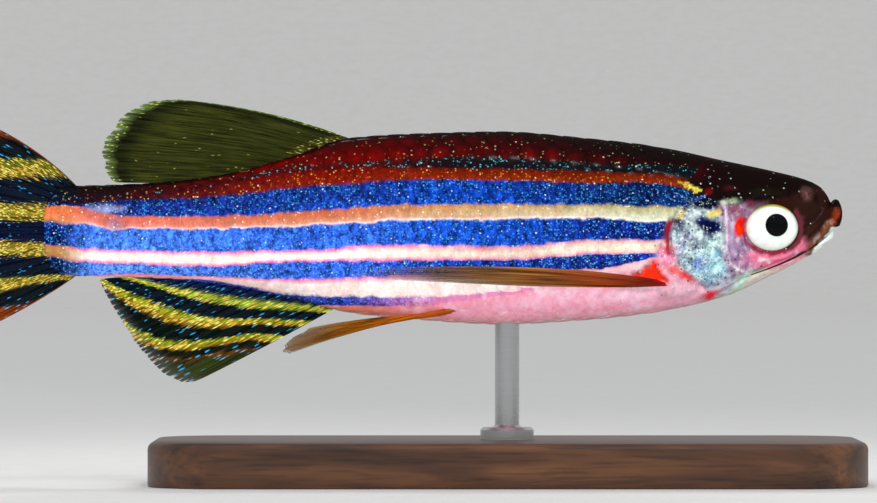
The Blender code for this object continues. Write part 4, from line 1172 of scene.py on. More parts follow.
def fish_skin(name, metallic):
    """Living skin: dark and bright pigment cells under clear, wet scale bone.

    The eye sees crisp stripes with slightly ragged edges, grainy blue with painted glints of single cells,
    darker arcs of painted shade where one scale ends over the next, and a soft wet gloss.
    """
    material, tree, shader = new_material(
        name, Metallic=metallic, Specular_IOR_Level=0.0, Coat_Weight=0.06, Coat_Roughness=0.12
    )
    place = add(tree, "ShaderNodeTexCoord").outputs["Object"]
    stripe = add(tree, "ShaderNodeAttribute", attribute_name="stripe").outputs["Fac"]
    paint = add(tree, "ShaderNodeAttribute", attribute_name="paint")
    flecks = add(tree, "ShaderNodeAttribute", attribute_name="flecks").outputs["Vector"]
    fleck_parts = add(tree, "ShaderNodeSeparateXYZ", {0: flecks}).outputs
    free_edge = add(tree, "ShaderNodeAttribute", attribute_name="free_edge").outputs["Fac"]
    heart = add(tree, "ShaderNodeAttribute", attribute_name="heart").outputs["Fac"]
    tint = add(tree, "ShaderNodeAttribute", attribute_name="tint").outputs["Fac"]
    along_x = add(tree, "ShaderNodeSeparateXYZ", {0: place}).outputs["X"]

    ragged = add(tree, "ShaderNodeTexNoise", {"Vector": place, "Scale": per_mm(0.70), "Detail": 3.0})
    shift = add(tree, "ShaderNodeMath", {0: ragged.outputs["Fac"], 1: 0.5}, operation="SUBTRACT")
    shift = add(tree, "ShaderNodeMath", {0: shift.outputs[0], 1: 0.42 / STRIPES}, operation="MULTIPLY")
    across = add(tree, "ShaderNodeMath", {0: stripe, 1: shift.outputs[0]}, operation="ADD").outputs[0]

    colour, amount = None, None
    for k, station in enumerate(STRIPE_STATIONS):
        stops = []
        for row in STRIPE_COLOURS:
            bright = REAR_PAINTED_GLINTS if k > 1 and 10.0 < row[0] < 11.0 else row[6]
            stops.append((row[0] / STRIPES, (*srgb(row[1 + k])[:3], bright)))
        ramp = add(tree, "ShaderNodeValToRGB", {"Fac": across}, stops)
        if colour is None:
            colour, amount = ramp.outputs["Color"], ramp.outputs["Alpha"]
            continue
        before = STRIPE_STATIONS[k - 1]
        span = {
            "Value": along_x,
            "From Min": (ROD_DISTANCE - before) * MM,
            "From Max": (ROD_DISTANCE - station) * MM,
        }
        share = add(tree, "ShaderNodeMapRange", span, interpolation_type="SMOOTHSTEP").outputs[0]
        mixed = add(
            tree,
            "ShaderNodeMix",
            {"Factor": share, MIX_A: colour, MIX_B: ramp.outputs["Color"]},
            data_type="RGBA",
        )
        colour = mixed.outputs[MIX_COLOUR]
        amount = add(
            tree, "ShaderNodeMix", {0: share, 2: amount, 3: ramp.outputs["Alpha"]}, data_type="FLOAT"
        ).outputs[0]

    # The colour of the painted glints, and the redness of the scales' middles, by place across the stripes.
    painted_glint_stops = [(row[0] / STRIPES, srgb(row[1])) for row in PAINTED_GLINT_COLOURS]
    painted_glint = add(tree, "ShaderNodeValToRGB", {"Fac": across}, painted_glint_stops)
    painted_glint.color_ramp.interpolation = "CONSTANT"
    red_stops = [(place / STRIPES, (red, red, red, 1.0)) for place, red in SCALE_REDNESS]
    redness = add(tree, "ShaderNodeValToRGB", {"Fac": across}, red_stops)

    # The middles of the scales on the back redden, least of all behind the head and at the tail.
    first, last = REDNESS_ALONG[0][0], REDNESS_ALONG[-1][0]
    reach = add(
        tree,
        "ShaderNodeMapRange",
        {
            "Value": along_x,
            "From Min": (ROD_DISTANCE - first) * MM,
            "From Max": (ROD_DISTANCE - last) * MM,
        },
    )
    along_stops = [((s - first) / (last - first), (red, red, red, 1.0)) for s, red in REDNESS_ALONG]
    red_there = add(tree, "ShaderNodeValToRGB", {"Fac": reach.outputs[0]}, along_stops)
    each = add(tree, "ShaderNodeMapRange", {"Value": tint, "To Min": 0.5, "To Max": 1.0})
    scaled = add(tree, "ShaderNodeMath", {0: heart, 1: each.outputs[0]}, operation="MULTIPLY")
    uneven_red = add(
        tree,
        "ShaderNodeMapRange",
        {"Value": ragged.outputs["Fac"], "From Min": 0.42, "From Max": 0.62, "To Min": 1.0, "To Max": 0.35},
    )
    scaled = add(
        tree, "ShaderNodeMath", {0: scaled.outputs[0], 1: uneven_red.outputs[0]}, operation="MULTIPLY"
    )
    for also in (redness, red_there):
        scaled = add(
            tree, "ShaderNodeMath", {0: scaled.outputs[0], 1: also.outputs["Color"]}, operation="MULTIPLY"
        )
    colour = add(
        tree,
        "ShaderNodeMix",
        {"Factor": scaled.outputs[0], MIX_A: colour, MIX_B: srgb(SCALE_RED)},
        data_type="RGBA",
    ).outputs[MIX_COLOUR]

    # Painted shade: each scale's free edge, where it lies over the next, darkens the stripe below it,
    # most of all where cells glint.
    painted_edge_shade = add(tree, "ShaderNodeMath", {0: free_edge, 1: amount}, operation="MULTIPLY").outputs[0]
    painted_edge_shade = add(tree, "ShaderNodeMapRange", {"Value": painted_edge_shade, "From Min": 0.35, "From Max": 1.0, "To Max": 0.50})
    colour = add(
        tree,
        "ShaderNodeMix",
        {"Factor": painted_edge_shade.outputs[0], MIX_A: colour, MIX_B: srgb("#020622")},
        data_type="RGBA",
    ).outputs[MIX_COLOUR]

    # The pale stripes and the belly blush in uneven patches.
    patches = add(
        tree,
        "ShaderNodeTexNoise",
        {"Vector": place, "Scale": per_mm(0.9), "Detail": 4.0, "Roughness": 0.65},
    )
    blush = add(
        tree,
        "ShaderNodeMapRange",
        {"Value": patches.outputs["Fac"], "From Min": 0.45, "From Max": 0.68, "To Max": 0.6},
    )
    pale = add(tree, "ShaderNodeMath", {0: 0.4, 1: amount}, operation="GREATER_THAN")
    low = add(tree, "ShaderNodeMath", {0: across, 1: 5.0 / STRIPES}, operation="GREATER_THAN")
    pale = add(tree, "ShaderNodeMath", {0: pale.outputs[0], 1: low.outputs[0]}, operation="MULTIPLY")
    blush = add(tree, "ShaderNodeMath", {0: blush.outputs[0], 1: pale.outputs[0]}, operation="MULTIPLY")
    colour = add(
        tree,
        "ShaderNodeMix",
        {"Factor": blush.outputs[0], MIX_A: colour, MIX_B: srgb("#f8ccc8")},
        data_type="RGBA",
        blend_type="MULTIPLY",
    ).outputs[MIX_COLOUR]
    bleached = add(
        tree,
        "ShaderNodeMapRange",
        {"Value": patches.outputs["Fac"], "From Min": 0.46, "From Max": 0.30, "To Max": 0.45},
    )
    bleached = add(
        tree, "ShaderNodeMath", {0: bleached.outputs[0], 1: pale.outputs[0]}, operation="MULTIPLY"
    )
    lower = add(tree, "ShaderNodeMath", {0: across, 1: 7.0 / STRIPES}, operation="GREATER_THAN")
    bleached = add(
        tree, "ShaderNodeMath", {0: bleached.outputs[0], 1: lower.outputs[0]}, operation="MULTIPLY"
    )
    colour = add(
        tree,
        "ShaderNodeMix",
        {"Factor": bleached.outputs[0], MIX_A: colour, MIX_B: srgb("#fff4f4")},
        data_type="RGBA",
    ).outputs[MIX_COLOUR]

    # The head's own colours cover the stripes in front of the gill opening.
    colour = add(
        tree,
        "ShaderNodeMix",
        {"Factor": paint.outputs["Alpha"], MIX_A: colour, MIX_B: paint.outputs["Color"]},
        data_type="RGBA",
    ).outputs[MIX_COLOUR]
    amount = add(
        tree,
        "ShaderNodeMix",
        {0: paint.outputs["Alpha"], 2: amount, 3: fleck_parts["X"]},
        data_type="FLOAT",
    ).outputs[0]

    # Patches of cells are lighter or darker, most of all in the blue stripes and on the gill cover.
    tall = add(tree, "ShaderNodeMapping", {"Vector": place, "Scale": (1.0, 1.0, 0.6)})
    grain = add(
        tree,
        "ShaderNodeTexNoise",
        {"Vector": tall.outputs[0], "Scale": per_mm(GRAIN_SIZE), "Detail": 4.0, "Roughness": 0.6},
    )
    swing = add(
        tree,
        "ShaderNodeMapRange",
        {"Value": grain.outputs["Fac"], "From Min": 0.35, "From Max": 0.65, "To Min": -1.0},
    )
    strength = add(tree, "ShaderNodeMath", {0: amount, 1: fleck_parts["Y"]}, operation="MAXIMUM")
    strength = add(
        tree, "ShaderNodeMath", {0: strength.outputs[0], 1: 0.55, 2: 0.08}, operation="MULTIPLY_ADD"
    )
    shade = add(
        tree,
        "ShaderNodeMath",
        {0: swing.outputs[0], 1: strength.outputs[0], 2: 1.0},
        operation="MULTIPLY_ADD",
    )
    colour = add(
        tree,
        "ShaderNodeMix",
        {"Factor": 1.0, MIX_A: colour, MIX_B: shade.outputs[0]},
        data_type="RGBA",
        blend_type="MULTIPLY",
    ).outputs[MIX_COLOUR]

    # The bone of the gill cover darkens in small uneven slate flakes, and shines in white flakes of
    # painted sheen.
    flakes = add(
        tree,
        "ShaderNodeTexNoise",
        {"Vector": place, "Scale": per_mm(FLAKE_SIZE), "Detail": 3.0, "Roughness": 0.6},
    ).outputs["Fac"]
    for low, high, shade in ((0.53, 0.62, "#48507c"), (0.47, 0.38, "#f2fcfa")):
        flake = add(tree, "ShaderNodeMapRange", {"Value": flakes, "From Min": low, "From Max": high})
        flake = add(
            tree, "ShaderNodeMath", {0: flake.outputs[0], 1: fleck_parts["Y"]}, operation="MULTIPLY"
        )
        flake = add(tree, "ShaderNodeMath", {0: flake.outputs[0], 1: 0.75}, operation="MULTIPLY")
        colour = add(
            tree,
            "ShaderNodeMix",
            {"Factor": flake.outputs[0], MIX_A: colour, MIX_B: srgb(shade)},
            data_type="RGBA",
        ).outputs[MIX_COLOUR]

    # Single dark cells stand out on the cheek and the gill cover.
    uneven = add(tree, "ShaderNodeTexNoise", {"Vector": place, "Scale": per_mm(0.08)})
    uneven = add(
        tree,
        "ShaderNodeVectorMath",
        {0: uneven.outputs["Color"], 1: (0.07 * MM, 0.07 * MM, 0.07 * MM), 2: place},
        operation="MULTIPLY_ADD",
    ).outputs[0]
    cells = add(tree, "ShaderNodeTexVoronoi", {"Vector": uneven, "Scale": per_mm(DOT_SIZE)})
    chance = add(tree, "ShaderNodeSeparateColor", {0: cells.outputs["Color"]}).outputs["Red"]
    share = add(tree, "ShaderNodeMath", {0: fleck_parts["Y"], 1: 0.22}, operation="MULTIPLY").outputs[0]
    chance = add(tree, "ShaderNodeMath", {0: share, 1: chance}, operation="GREATER_THAN")
    spot = add(
        tree, "ShaderNodeMapRange", {"Value": cells.outputs["Distance"], "From Min": 0.42, "From Max": 0.24}
    )
    dot = add(tree, "ShaderNodeMath", {0: chance.outputs[0], 1: spot.outputs[0]}, operation="MULTIPLY")
    dot = add(tree, "ShaderNodeMath", {0: dot.outputs[0], 1: 0.75}, operation="MULTIPLY")
    colour = add(
        tree,
        "ShaderNodeMix",
        {"Factor": dot.outputs[0], MIX_A: colour, MIX_B: srgb("#141440")},
        data_type="RGBA",
    ).outputs[MIX_COLOUR]

    # Painted glints: single cells of uneven shape are made lighter or darker, and some are painted bright
    # in the glint colour, partly white, as highlights of shiny cells, most of all in the blue stripes.
    cells = add(tree, "ShaderNodeTexVoronoi", {"Vector": uneven, "Scale": per_mm(PAINTED_GLINT_SIZE)})
    cell_parts = add(tree, "ShaderNodeSeparateColor", {0: cells.outputs["Color"]}).outputs
    brighter = add(
        tree,
        "ShaderNodeMapRange",
        {"Value": cell_parts["Green"], "To Min": 0.45, "To Max": 1.70},
    )
    brighter = add(
        tree, "ShaderNodeMix", {0: amount, 2: 1.0, 3: brighter.outputs[0]}, data_type="FLOAT"
    ).outputs[0]
    colour = add(
        tree,
        "ShaderNodeMix",
        {"Factor": 1.0, MIX_A: colour, MIX_B: brighter},
        data_type="RGBA",
        blend_type="MULTIPLY",
    ).outputs[MIX_COLOUR]
    share = add(tree, "ShaderNodeMath", {0: amount, 1: 0.48}, operation="MULTIPLY").outputs[0]
    chance = add(tree, "ShaderNodeMath", {0: share, 1: cell_parts["Red"]}, operation="GREATER_THAN")
    spot = add(
        tree, "ShaderNodeMapRange", {"Value": cells.outputs["Distance"], "From Min": 0.60, "From Max": 0.25}
    )
    painted_sparkle = add(tree, "ShaderNodeMath", {0: chance.outputs[0], 1: spot.outputs[0]}, operation="MULTIPLY")
    painted_sparkle = add(
        tree, "ShaderNodeMath", {0: painted_sparkle.outputs[0], 1: cell_parts["Blue"]}, operation="MULTIPLY"
    )
    painted_highlight_white = add(tree, "ShaderNodeMapRange", {"Value": cell_parts["Blue"], "From Min": 0.93, "To Max": 0.7})
    # The painted glints turn pale on the head's paint, and the whitest cells are painted highlights.
    own = add(
        tree,
        "ShaderNodeMix",
        {"Factor": paint.outputs["Alpha"], MIX_A: painted_glint.outputs["Color"], MIX_B: srgb("#c8e4e8")},
        data_type="RGBA",
    ).outputs[MIX_COLOUR]
    light = add(
        tree,
        "ShaderNodeMix",
        {"Factor": painted_highlight_white.outputs[0], MIX_A: own, MIX_B: srgb("#ffffff")},
        data_type="RGBA",
    ).outputs[MIX_COLOUR]
    colour = add(
        tree,
        "ShaderNodeMix",
        {"Factor": painted_sparkle.outputs[0], MIX_A: colour, MIX_B: light},
        data_type="RGBA",
    ).outputs[MIX_COLOUR]
    tree.links.new(colour, shader.inputs["Base Color"])

    rough = add(
        tree, "ShaderNodeMapRange", {"Value": grain.outputs["Fac"], "To Min": 0.30, "To Max": 0.52}
    )
    tree.links.new(rough.outputs[0], shader.inputs["Roughness"])
    fine = add(
        tree, "ShaderNodeBump", {"Strength": 0.25, "Distance": 0.01 * MM, "Height": cells.outputs["Distance"]}
    )
    bump = add(
        tree,
        "ShaderNodeBump",
        {
            "Strength": 0.4,
            "Distance": 0.03 * MM,
            "Height": grain.outputs["Fac"],
            "Normal": fine.outputs["Normal"],
        },
    )
    tree.links.new(bump.outputs["Normal"], shader.inputs["Normal"])
    return material


def eye_material():
    """A fish's eye: a mirror-white iris under a clear wet cornea, with a black pupil."""
    material, tree, shader = new_material(
        "wet_eye", Roughness=0.3, Specular_IOR_Level=0.0, Coat_Weight=0.2, Coat_Roughness=0.05
    )
    place = add(tree, "ShaderNodeTexCoord").outputs["Object"]
    rings = add(tree, "ShaderNodeAttribute", attribute_name="rings").outputs["Vector"]
    parts = add(tree, "ShaderNodeSeparateXYZ", {0: rings}).outputs
    streaks = add(tree, "ShaderNodeTexNoise", {"Vector": place, "Scale": per_mm(0.3), "Detail": 4.0})
    # Painted shade: the white iris greys towards its rim, where the eye sinks into its socket, then turns dark
    # red at the very edge.
    iris_rim_shade_stops = (
        (0.0, srgb("#f2fdf6")),
        (0.88, srgb("#f4fff8")),
        (0.94, srgb("#e4ecd8")),
        (0.975, srgb("#8a4a44")),
        (1.0, srgb("#3c0a10")),
    )
    iris = add(tree, "ShaderNodeValToRGB", {"Fac": parts["Y"]}, iris_rim_shade_stops).outputs["Color"]
    faint = add(
        tree,
        "ShaderNodeMapRange",
        {"Value": streaks.outputs["Fac"], "From Min": 0.3, "From Max": 0.7, "To Min": 0.86, "To Max": 1.06},
    )
    iris = add(
        tree,
        "ShaderNodeMix",
        {"Factor": 1.0, MIX_A: iris, MIX_B: faint.outputs[0]},
        data_type="RGBA",
        blend_type="MULTIPLY",
    ).outputs[MIX_COLOUR]
    high = add(
        tree,
        "ShaderNodeMapRange",
        {"Value": parts["Z"], "From Min": 0.55, "From Max": 0.90},
        interpolation_type="SMOOTHSTEP",
    )
    outer = add(
        tree,
        "ShaderNodeMapRange",
        {"Value": parts["Y"], "From Min": 0.86, "From Max": 0.96},
        interpolation_type="SMOOTHSTEP",
    )
    gold = add(tree, "ShaderNodeMath", {0: high.outputs[0], 1: outer.outputs[0]}, operation="MULTIPLY")
    iris = add(
        tree,
        "ShaderNodeMix",
        {"Factor": gold.outputs[0], MIX_A: iris, MIX_B: srgb("#c4bc20")},
        data_type="RGBA",
    ).outputs[MIX_COLOUR]
    pupil = add(tree, "ShaderNodeMapRange", {"Value": parts["X"], "From Min": 1.03, "From Max": 0.97})
    colour = add(
        tree,
        "ShaderNodeMix",
        {"Factor": pupil.outputs[0], MIX_A: iris, MIX_B: srgb("#030405")},
        data_type="RGBA",
    ).outputs[MIX_COLOUR]
    tree.links.new(colour, shader.inputs["Base Color"])
    return material


def fin_material(name, bands, rays, clear, fin_glint_colours, cells):
    """Fin membrane: a clear skin on jointed bony rays, with pigment and bright cells along them.

    bands has, for each place across the fin's stripes, the colour and how many cells are painted as
    glints there. The painted glints take two colours where many cells glint, and a third where few do.
    rays has the colour of the rays and how far it covers that of the membrane.
    clear is how far the membrane lets light through between the rays, how far at the outer edge, and
    where along the rays that begins.
    cells is how many bright cells lie side by side across the fin, and how many along a ray.
    """
    material, tree, shader = new_material(
        name, Roughness=0.42, Specular_IOR_Level=0.0, Coat_Weight=0.06, Coat_Roughness=0.2
    )
    ray_map = add(tree, "ShaderNodeUVMap", uv_map="rays").outputs["UV"]
    band = add(tree, "ShaderNodeAttribute", attribute_name="band").outputs["Fac"]
    ridge = add(tree, "ShaderNodeAttribute", attribute_name="ridge").outputs["Fac"]
    reach = add(tree, "ShaderNodeAttribute", attribute_name="reach").outputs["Fac"]
    streaks = add(tree, "ShaderNodeMapping", {"Vector": ray_map, "Scale": (cells[0] * 0.6, 5.0, 1.0)})
    ragged = add(tree, "ShaderNodeTexNoise", {"Vector": streaks.outputs[0], "Scale": 1.0, "Detail": 3.0})
    count = bands[-1][0]
    shift = add(tree, "ShaderNodeMath", {0: ragged.outputs["Fac"], 1: 0.5}, operation="SUBTRACT")
    shift = add(tree, "ShaderNodeMath", {0: shift.outputs[0], 1: 0.9 / count}, operation="MULTIPLY")
    across = add(tree, "ShaderNodeMath", {0: band, 1: shift.outputs[0]}, operation="ADD").outputs[0]
    stops = [(row[0] / count, (*srgb(row[1])[:3], row[2])) for row in bands]
    ramp = add(tree, "ShaderNodeValToRGB", {"Fac": across}, stops)
    ray_share = add(tree, "ShaderNodeMath", {0: ridge, 1: rays[1]}, operation="MULTIPLY")
    colour = add(
        tree,
        "ShaderNodeMix",
        {"Factor": ray_share.outputs[0], MIX_A: ramp.outputs["Color"], MIX_B: srgb(rays[0])},
        data_type="RGBA",
    ).outputs[MIX_COLOUR]

    # Fine lines of lighter and darker cells run along the rays.
    lines = add(tree, "ShaderNodeMapping", {"Vector": ray_map, "Scale": (cells[0], cells[1] * 0.08, 1.0)})
    lines = add(tree, "ShaderNodeTexNoise", {"Vector": lines.outputs[0], "Scale": 1.0, "Detail": 2.0})
    lines = add(
        tree,
        "ShaderNodeMapRange",
        {"Value": lines.outputs["Fac"], "From Min": 0.35, "From Max": 0.65, "To Min": 0.38, "To Max": 1.62},
    )
    colour = add(
        tree,
        "ShaderNodeMix",
        {"Factor": 1.0, MIX_A: colour, MIX_B: lines.outputs[0]},
        data_type="RGBA",
        blend_type="MULTIPLY",
    ).outputs[MIX_COLOUR]

    # Painted glints: bright cells lie in short dashes along the rays, in the glint colours.
    dashes = add(tree, "ShaderNodeMapping", {"Vector": ray_map, "Scale": (*cells, 1.0)})
    spots = add(tree, "ShaderNodeTexVoronoi", {"Vector": dashes.outputs[0], "Scale": 1.0})
    parts = add(tree, "ShaderNodeSeparateColor", {0: spots.outputs["Color"]}).outputs
    share = add(
        tree, "ShaderNodeMath", {0: ramp.outputs["Alpha"], 1: 0.75}, operation="MULTIPLY"
    ).outputs[0]
    chance = add(tree, "ShaderNodeMath", {0: share, 1: parts["Red"]}, operation="GREATER_THAN")
    spot = add(
        tree, "ShaderNodeMapRange", {"Value": spots.outputs["Distance"], "From Min": 0.65, "From Max": 0.25}
    )
    painted_sparkle = add(tree, "ShaderNodeMath", {0: chance.outputs[0], 1: spot.outputs[0]}, operation="MULTIPLY")
    bright = add(
        tree,
        "ShaderNodeMix",
        {"Factor": parts["Green"], MIX_A: srgb(fin_glint_colours[0]), MIX_B: srgb(fin_glint_colours[1])},
        data_type="RGBA",
    ).outputs[MIX_COLOUR]
    golden = add(
        tree, "ShaderNodeMapRange", {"Value": ramp.outputs["Alpha"], "From Min": 0.12, "From Max": 0.35}
    )
    bright = add(
        tree,
        "ShaderNodeMix",
        {"Factor": golden.outputs[0], MIX_A: srgb(fin_glint_colours[2]), MIX_B: bright},
        data_type="RGBA",
    ).outputs[MIX_COLOUR]
    colour = add(
        tree,
        "ShaderNodeMix",
        {"Factor": painted_sparkle.outputs[0], MIX_A: colour, MIX_B: bright},
        data_type="RGBA",
    ).outputs[MIX_COLOUR]
    tree.links.new(colour, shader.inputs["Base Color"])

    solid = add(
        tree,
        "ShaderNodeMapRange",
        {"Value": ridge, "From Min": 0.0, "From Max": 0.8, "To Min": 1 - clear[0], "To Max": 1.0},
    )
    edge = add(
        tree,
        "ShaderNodeMapRange",
        {"Value": reach, "From Min": clear[2], "From Max": 1.0, "To Min": 1.0, "To Max": 1 - clear[1]},
        interpolation_type="SMOOTHSTEP",
    )
    alpha = add(tree, "ShaderNodeMath", {0: solid.outputs[0], 1: edge.outputs[0]}, operation="MULTIPLY")

    # Between the tips of the rays the membrane is worn away.
    worn = add(tree, "ShaderNodeMapRange", {"Value": reach, "From Min": 0.965, "From Max": 1.0})
    gap = add(tree, "ShaderNodeMapRange", {"Value": ridge, "From Min": 0.75, "From Max": 0.35})
    worn = add(tree, "ShaderNodeMath", {0: worn.outputs[0], 1: gap.outputs[0]}, operation="MULTIPLY")
    left = add(tree, "ShaderNodeMath", {0: 1.0, 1: worn.outputs[0]}, operation="SUBTRACT")
    alpha = add(tree, "ShaderNodeMath", {0: alpha.outputs[0], 1: left.outputs[0]}, operation="MULTIPLY")
    alpha = add(tree, "ShaderNodeMath", {0: alpha.outputs[0], 1: painted_sparkle.outputs[0]}, operation="MAXIMUM")
    tree.links.new(alpha.outputs[0], shader.inputs["Alpha"])

    # The rays are jointed every eighth of a millimetre.
    joints = add(tree, "ShaderNodeMapping", {"Vector": ray_map, "Scale": (1.0, 60.0, 1.0)})
    joints = add(
        tree, "ShaderNodeTexWave", {"Vector": joints.outputs[0], "Scale": 0.31}, bands_direction="Y"
    )
    height = add(tree, "ShaderNodeMath", {0: joints.outputs["Fac"], 1: ridge}, operation="MULTIPLY")
    bump = add(
        tree, "ShaderNodeBump", {"Strength": 0.35, "Distance": 0.02 * MM, "Height": height.outputs[0]}
    )
    tree.links.new(bump.outputs["Normal"], shader.inputs["Normal"])
    return material


# For each fin, its bands: place across them, colour, and how many cells are painted as glints there.
STRIPED_TAIL = (
    (0.0, "#803c08", 0.15),
    (0.95, "#642c08", 0.10),
    (1.1, "#020a10", 0.03),
    (1.9, "#031014", 0.05),
    (2.20, "#5c640c", 1.0),
    (2.75, "#746410", 1.0),
    (3.0, "#020a1c", 0.08),
    (4.0, "#031024", 0.08),
    (4.25, "#786814", 1.0),
    (4.75, "#7c7018", 1.0),
    (5.0, "#020a28", 0.06),
    (6.0, "#030e2c", 0.06),
    (6.25, "#806c18", 1.0),
    (6.75, "#706414", 1.0),
    (7.0, "#020a24", 0.08),
    (8.0, "#03101c", 0.08),
    (8.25, "#747014", 1.0),
    (8.80, "#74600c", 1.0),
    (9.05, "#020c14", 0.03),
    (9.9, "#041418", 0.05),
    (10.05, "#743008", 0.15),
    (11.0, "#803c08", 0.15),
)
STRIPED_ANAL = (
    (0.0, "#04164c", 0.11),
    (0.85, "#031434", 0.11),
    (1.30, "#88a428", 1.0),
    (1.68, "#7c9418", 1.0),
    (2.00, "#020e18", 0.12),
    (2.95, "#02101c", 0.12),
    (3.28, "#8c9c10", 1.0),
    (3.68, "#987414", 1.0),
    (3.98, "#020e0c", 0.08),
    (4.92, "#04100c", 0.08),
    (5.26, "#7c940c", 1.0),
    (5.72, "#947014", 0.9),
    (6.05, "#0c1408", 0.03),
    (6.60, "#12180a", 0.03),
    (6.85, "#5c3810", 0.25),
    (7.2, "#28300e", 0.12),
    (8.0, "#363e16", 0.04),
)
OLIVE_DORSAL = (
    (0.0, "#607428", 0.35),
    (0.9, "#3a4a14", 0.25),
    (1.4, "#0a0c03", 0.01),
    (2.2, "#121404", 0.01),
    (3.1, "#24280a", 0.01),
    (4.0, "#2c2e0c", 0.01),
    (4.4, "#2a2a0a", 0.02),
    (5.0, "#504414", 0.60),
)
BROWN_PECTORAL = (
    (0.0, "#c81810", 0.0),
    (0.20, "#9c2418", 0.0),
    (0.50, "#a43c20", 0.0),
    (1.2, "#a45024", 0.0),
    (2.0, "#a86c34", 0.0),
    (3.0, "#8c6c3c", 0.0),
    (4.0, "#8880b4", 0.0),
)
ORANGE_PELVIC = (
    (0.0, "#d87c08", 0.0),
    (0.5, "#c85c0c", 0.0),
    (2.0, "#a45c0c", 0.0),
    (4.0, "#685a0c", 0.0),
)


def barbel_material():
    """The thin dark skin of the feelers, unevenly mottled."""
    material, tree, shader = new_material("barbel_skin", Roughness=0.5, Specular_IOR_Level=0.1)
    place = add(tree, "ShaderNodeTexCoord").outputs["Object"]
    mottle = add(tree, "ShaderNodeTexNoise", {"Vector": place, "Scale": per_mm(0.15), "Detail": 3.0})
    stops = ((0.35, srgb("#180c0a")), (0.65, srgb("#482620")))
    ramp = add(tree, "ShaderNodeValToRGB", {"Fac": mottle.outputs["Fac"]}, stops)
    tree.links.new(ramp.outputs["Color"], shader.inputs["Base Color"])
    return material


def oiled_walnut():
    """Planed and oiled walnut: long dark and light grain with fine pores, and a dull sheen."""
    material, tree, shader = new_material("oiled_walnut", Coat_Weight=0.12, Coat_Roughness=0.35)
    place = add(tree, "ShaderNodeTexCoord").outputs["Object"]
    stretched = add(tree, "ShaderNodeMapping", {"Vector": place, "Scale": (0.12, 1.0, 1.0)})
    grain = add(
        tree,
        "ShaderNodeTexNoise",
        {"Vector": stretched.outputs[0], "Scale": per_mm(1.1), "Detail": 5.0, "Distortion": 0.6},
    )
    pores = add(tree, "ShaderNodeMapping", {"Vector": place, "Scale": (0.06, 1.0, 1.0)})
    pores = add(tree, "ShaderNodeTexNoise", {"Vector": pores.outputs[0], "Scale": per_mm(0.16)})
    stops = ((0.28, srgb("#24130a")), (0.50, srgb("#4a2c18")), (0.72, srgb("#6b4426")))
    ramp = add(tree, "ShaderNodeValToRGB", {"Fac": grain.outputs["Fac"]}, stops)
    dark = add(
        tree,
        "ShaderNodeMapRange",
        {"Value": pores.outputs["Fac"], "From Min": 0.30, "From Max": 0.50, "To Min": 0.55, "To Max": 1.0},
    )
    colour = add(
        tree,
        "ShaderNodeMix",
        {"Factor": 1.0, MIX_A: ramp.outputs["Color"], MIX_B: dark.outputs[0]},
        data_type="RGBA",
        blend_type="MULTIPLY",
    )
    tree.links.new(colour.outputs[MIX_COLOUR], shader.inputs["Base Color"])
    rough = add(
        tree, "ShaderNodeMapRange", {"Value": grain.outputs["Fac"], "To Min": 0.36, "To Max": 0.55}
    )
    tree.links.new(rough.outputs[0], shader.inputs["Roughness"])
    bump = add(
        tree, "ShaderNodeBump", {"Strength": 0.3, "Distance": 0.03 * MM, "Height": pores.outputs["Fac"]}
    )
    tree.links.new(bump.outputs["Normal"], shader.inputs["Normal"])
    return material


def satin_steel():
    """Turned stainless steel with fine lathe rings, which blur its reflections."""
    material, tree, shader = new_material("satin_steel", Metallic=1.0)
    place = add(tree, "ShaderNodeTexCoord").outputs["Object"]
    flat = add(tree, "ShaderNodeMapping", {"Vector": place, "Scale": (0.02, 0.02, 1.0)})
    rings = add(tree, "ShaderNodeTexNoise", {"Vector": flat.outputs[0], "Scale": per_mm(0.05), "Detail": 2.0})
    stops = ((0.3, srgb("#bfc1c3")), (0.7, srgb("#c9cacb")))
    ramp = add(tree, "ShaderNodeValToRGB", {"Fac": rings.outputs["Fac"]}, stops)
    tree.links.new(ramp.outputs["Color"], shader.inputs["Base Color"])
    rough = add(
        tree, "ShaderNodeMapRange", {"Value": rings.outputs["Fac"], "To Min": 0.22, "To Max": 0.38}
    )
    tree.links.new(rough.outputs[0], shader.inputs["Roughness"])
    bump = add(
        tree, "ShaderNodeBump", {"Strength": 0.2, "Distance": 0.005 * MM, "Height": rings.outputs["Fac"]}
    )
    tree.links.new(bump.outputs["Normal"], shader.inputs["Normal"])
    return material


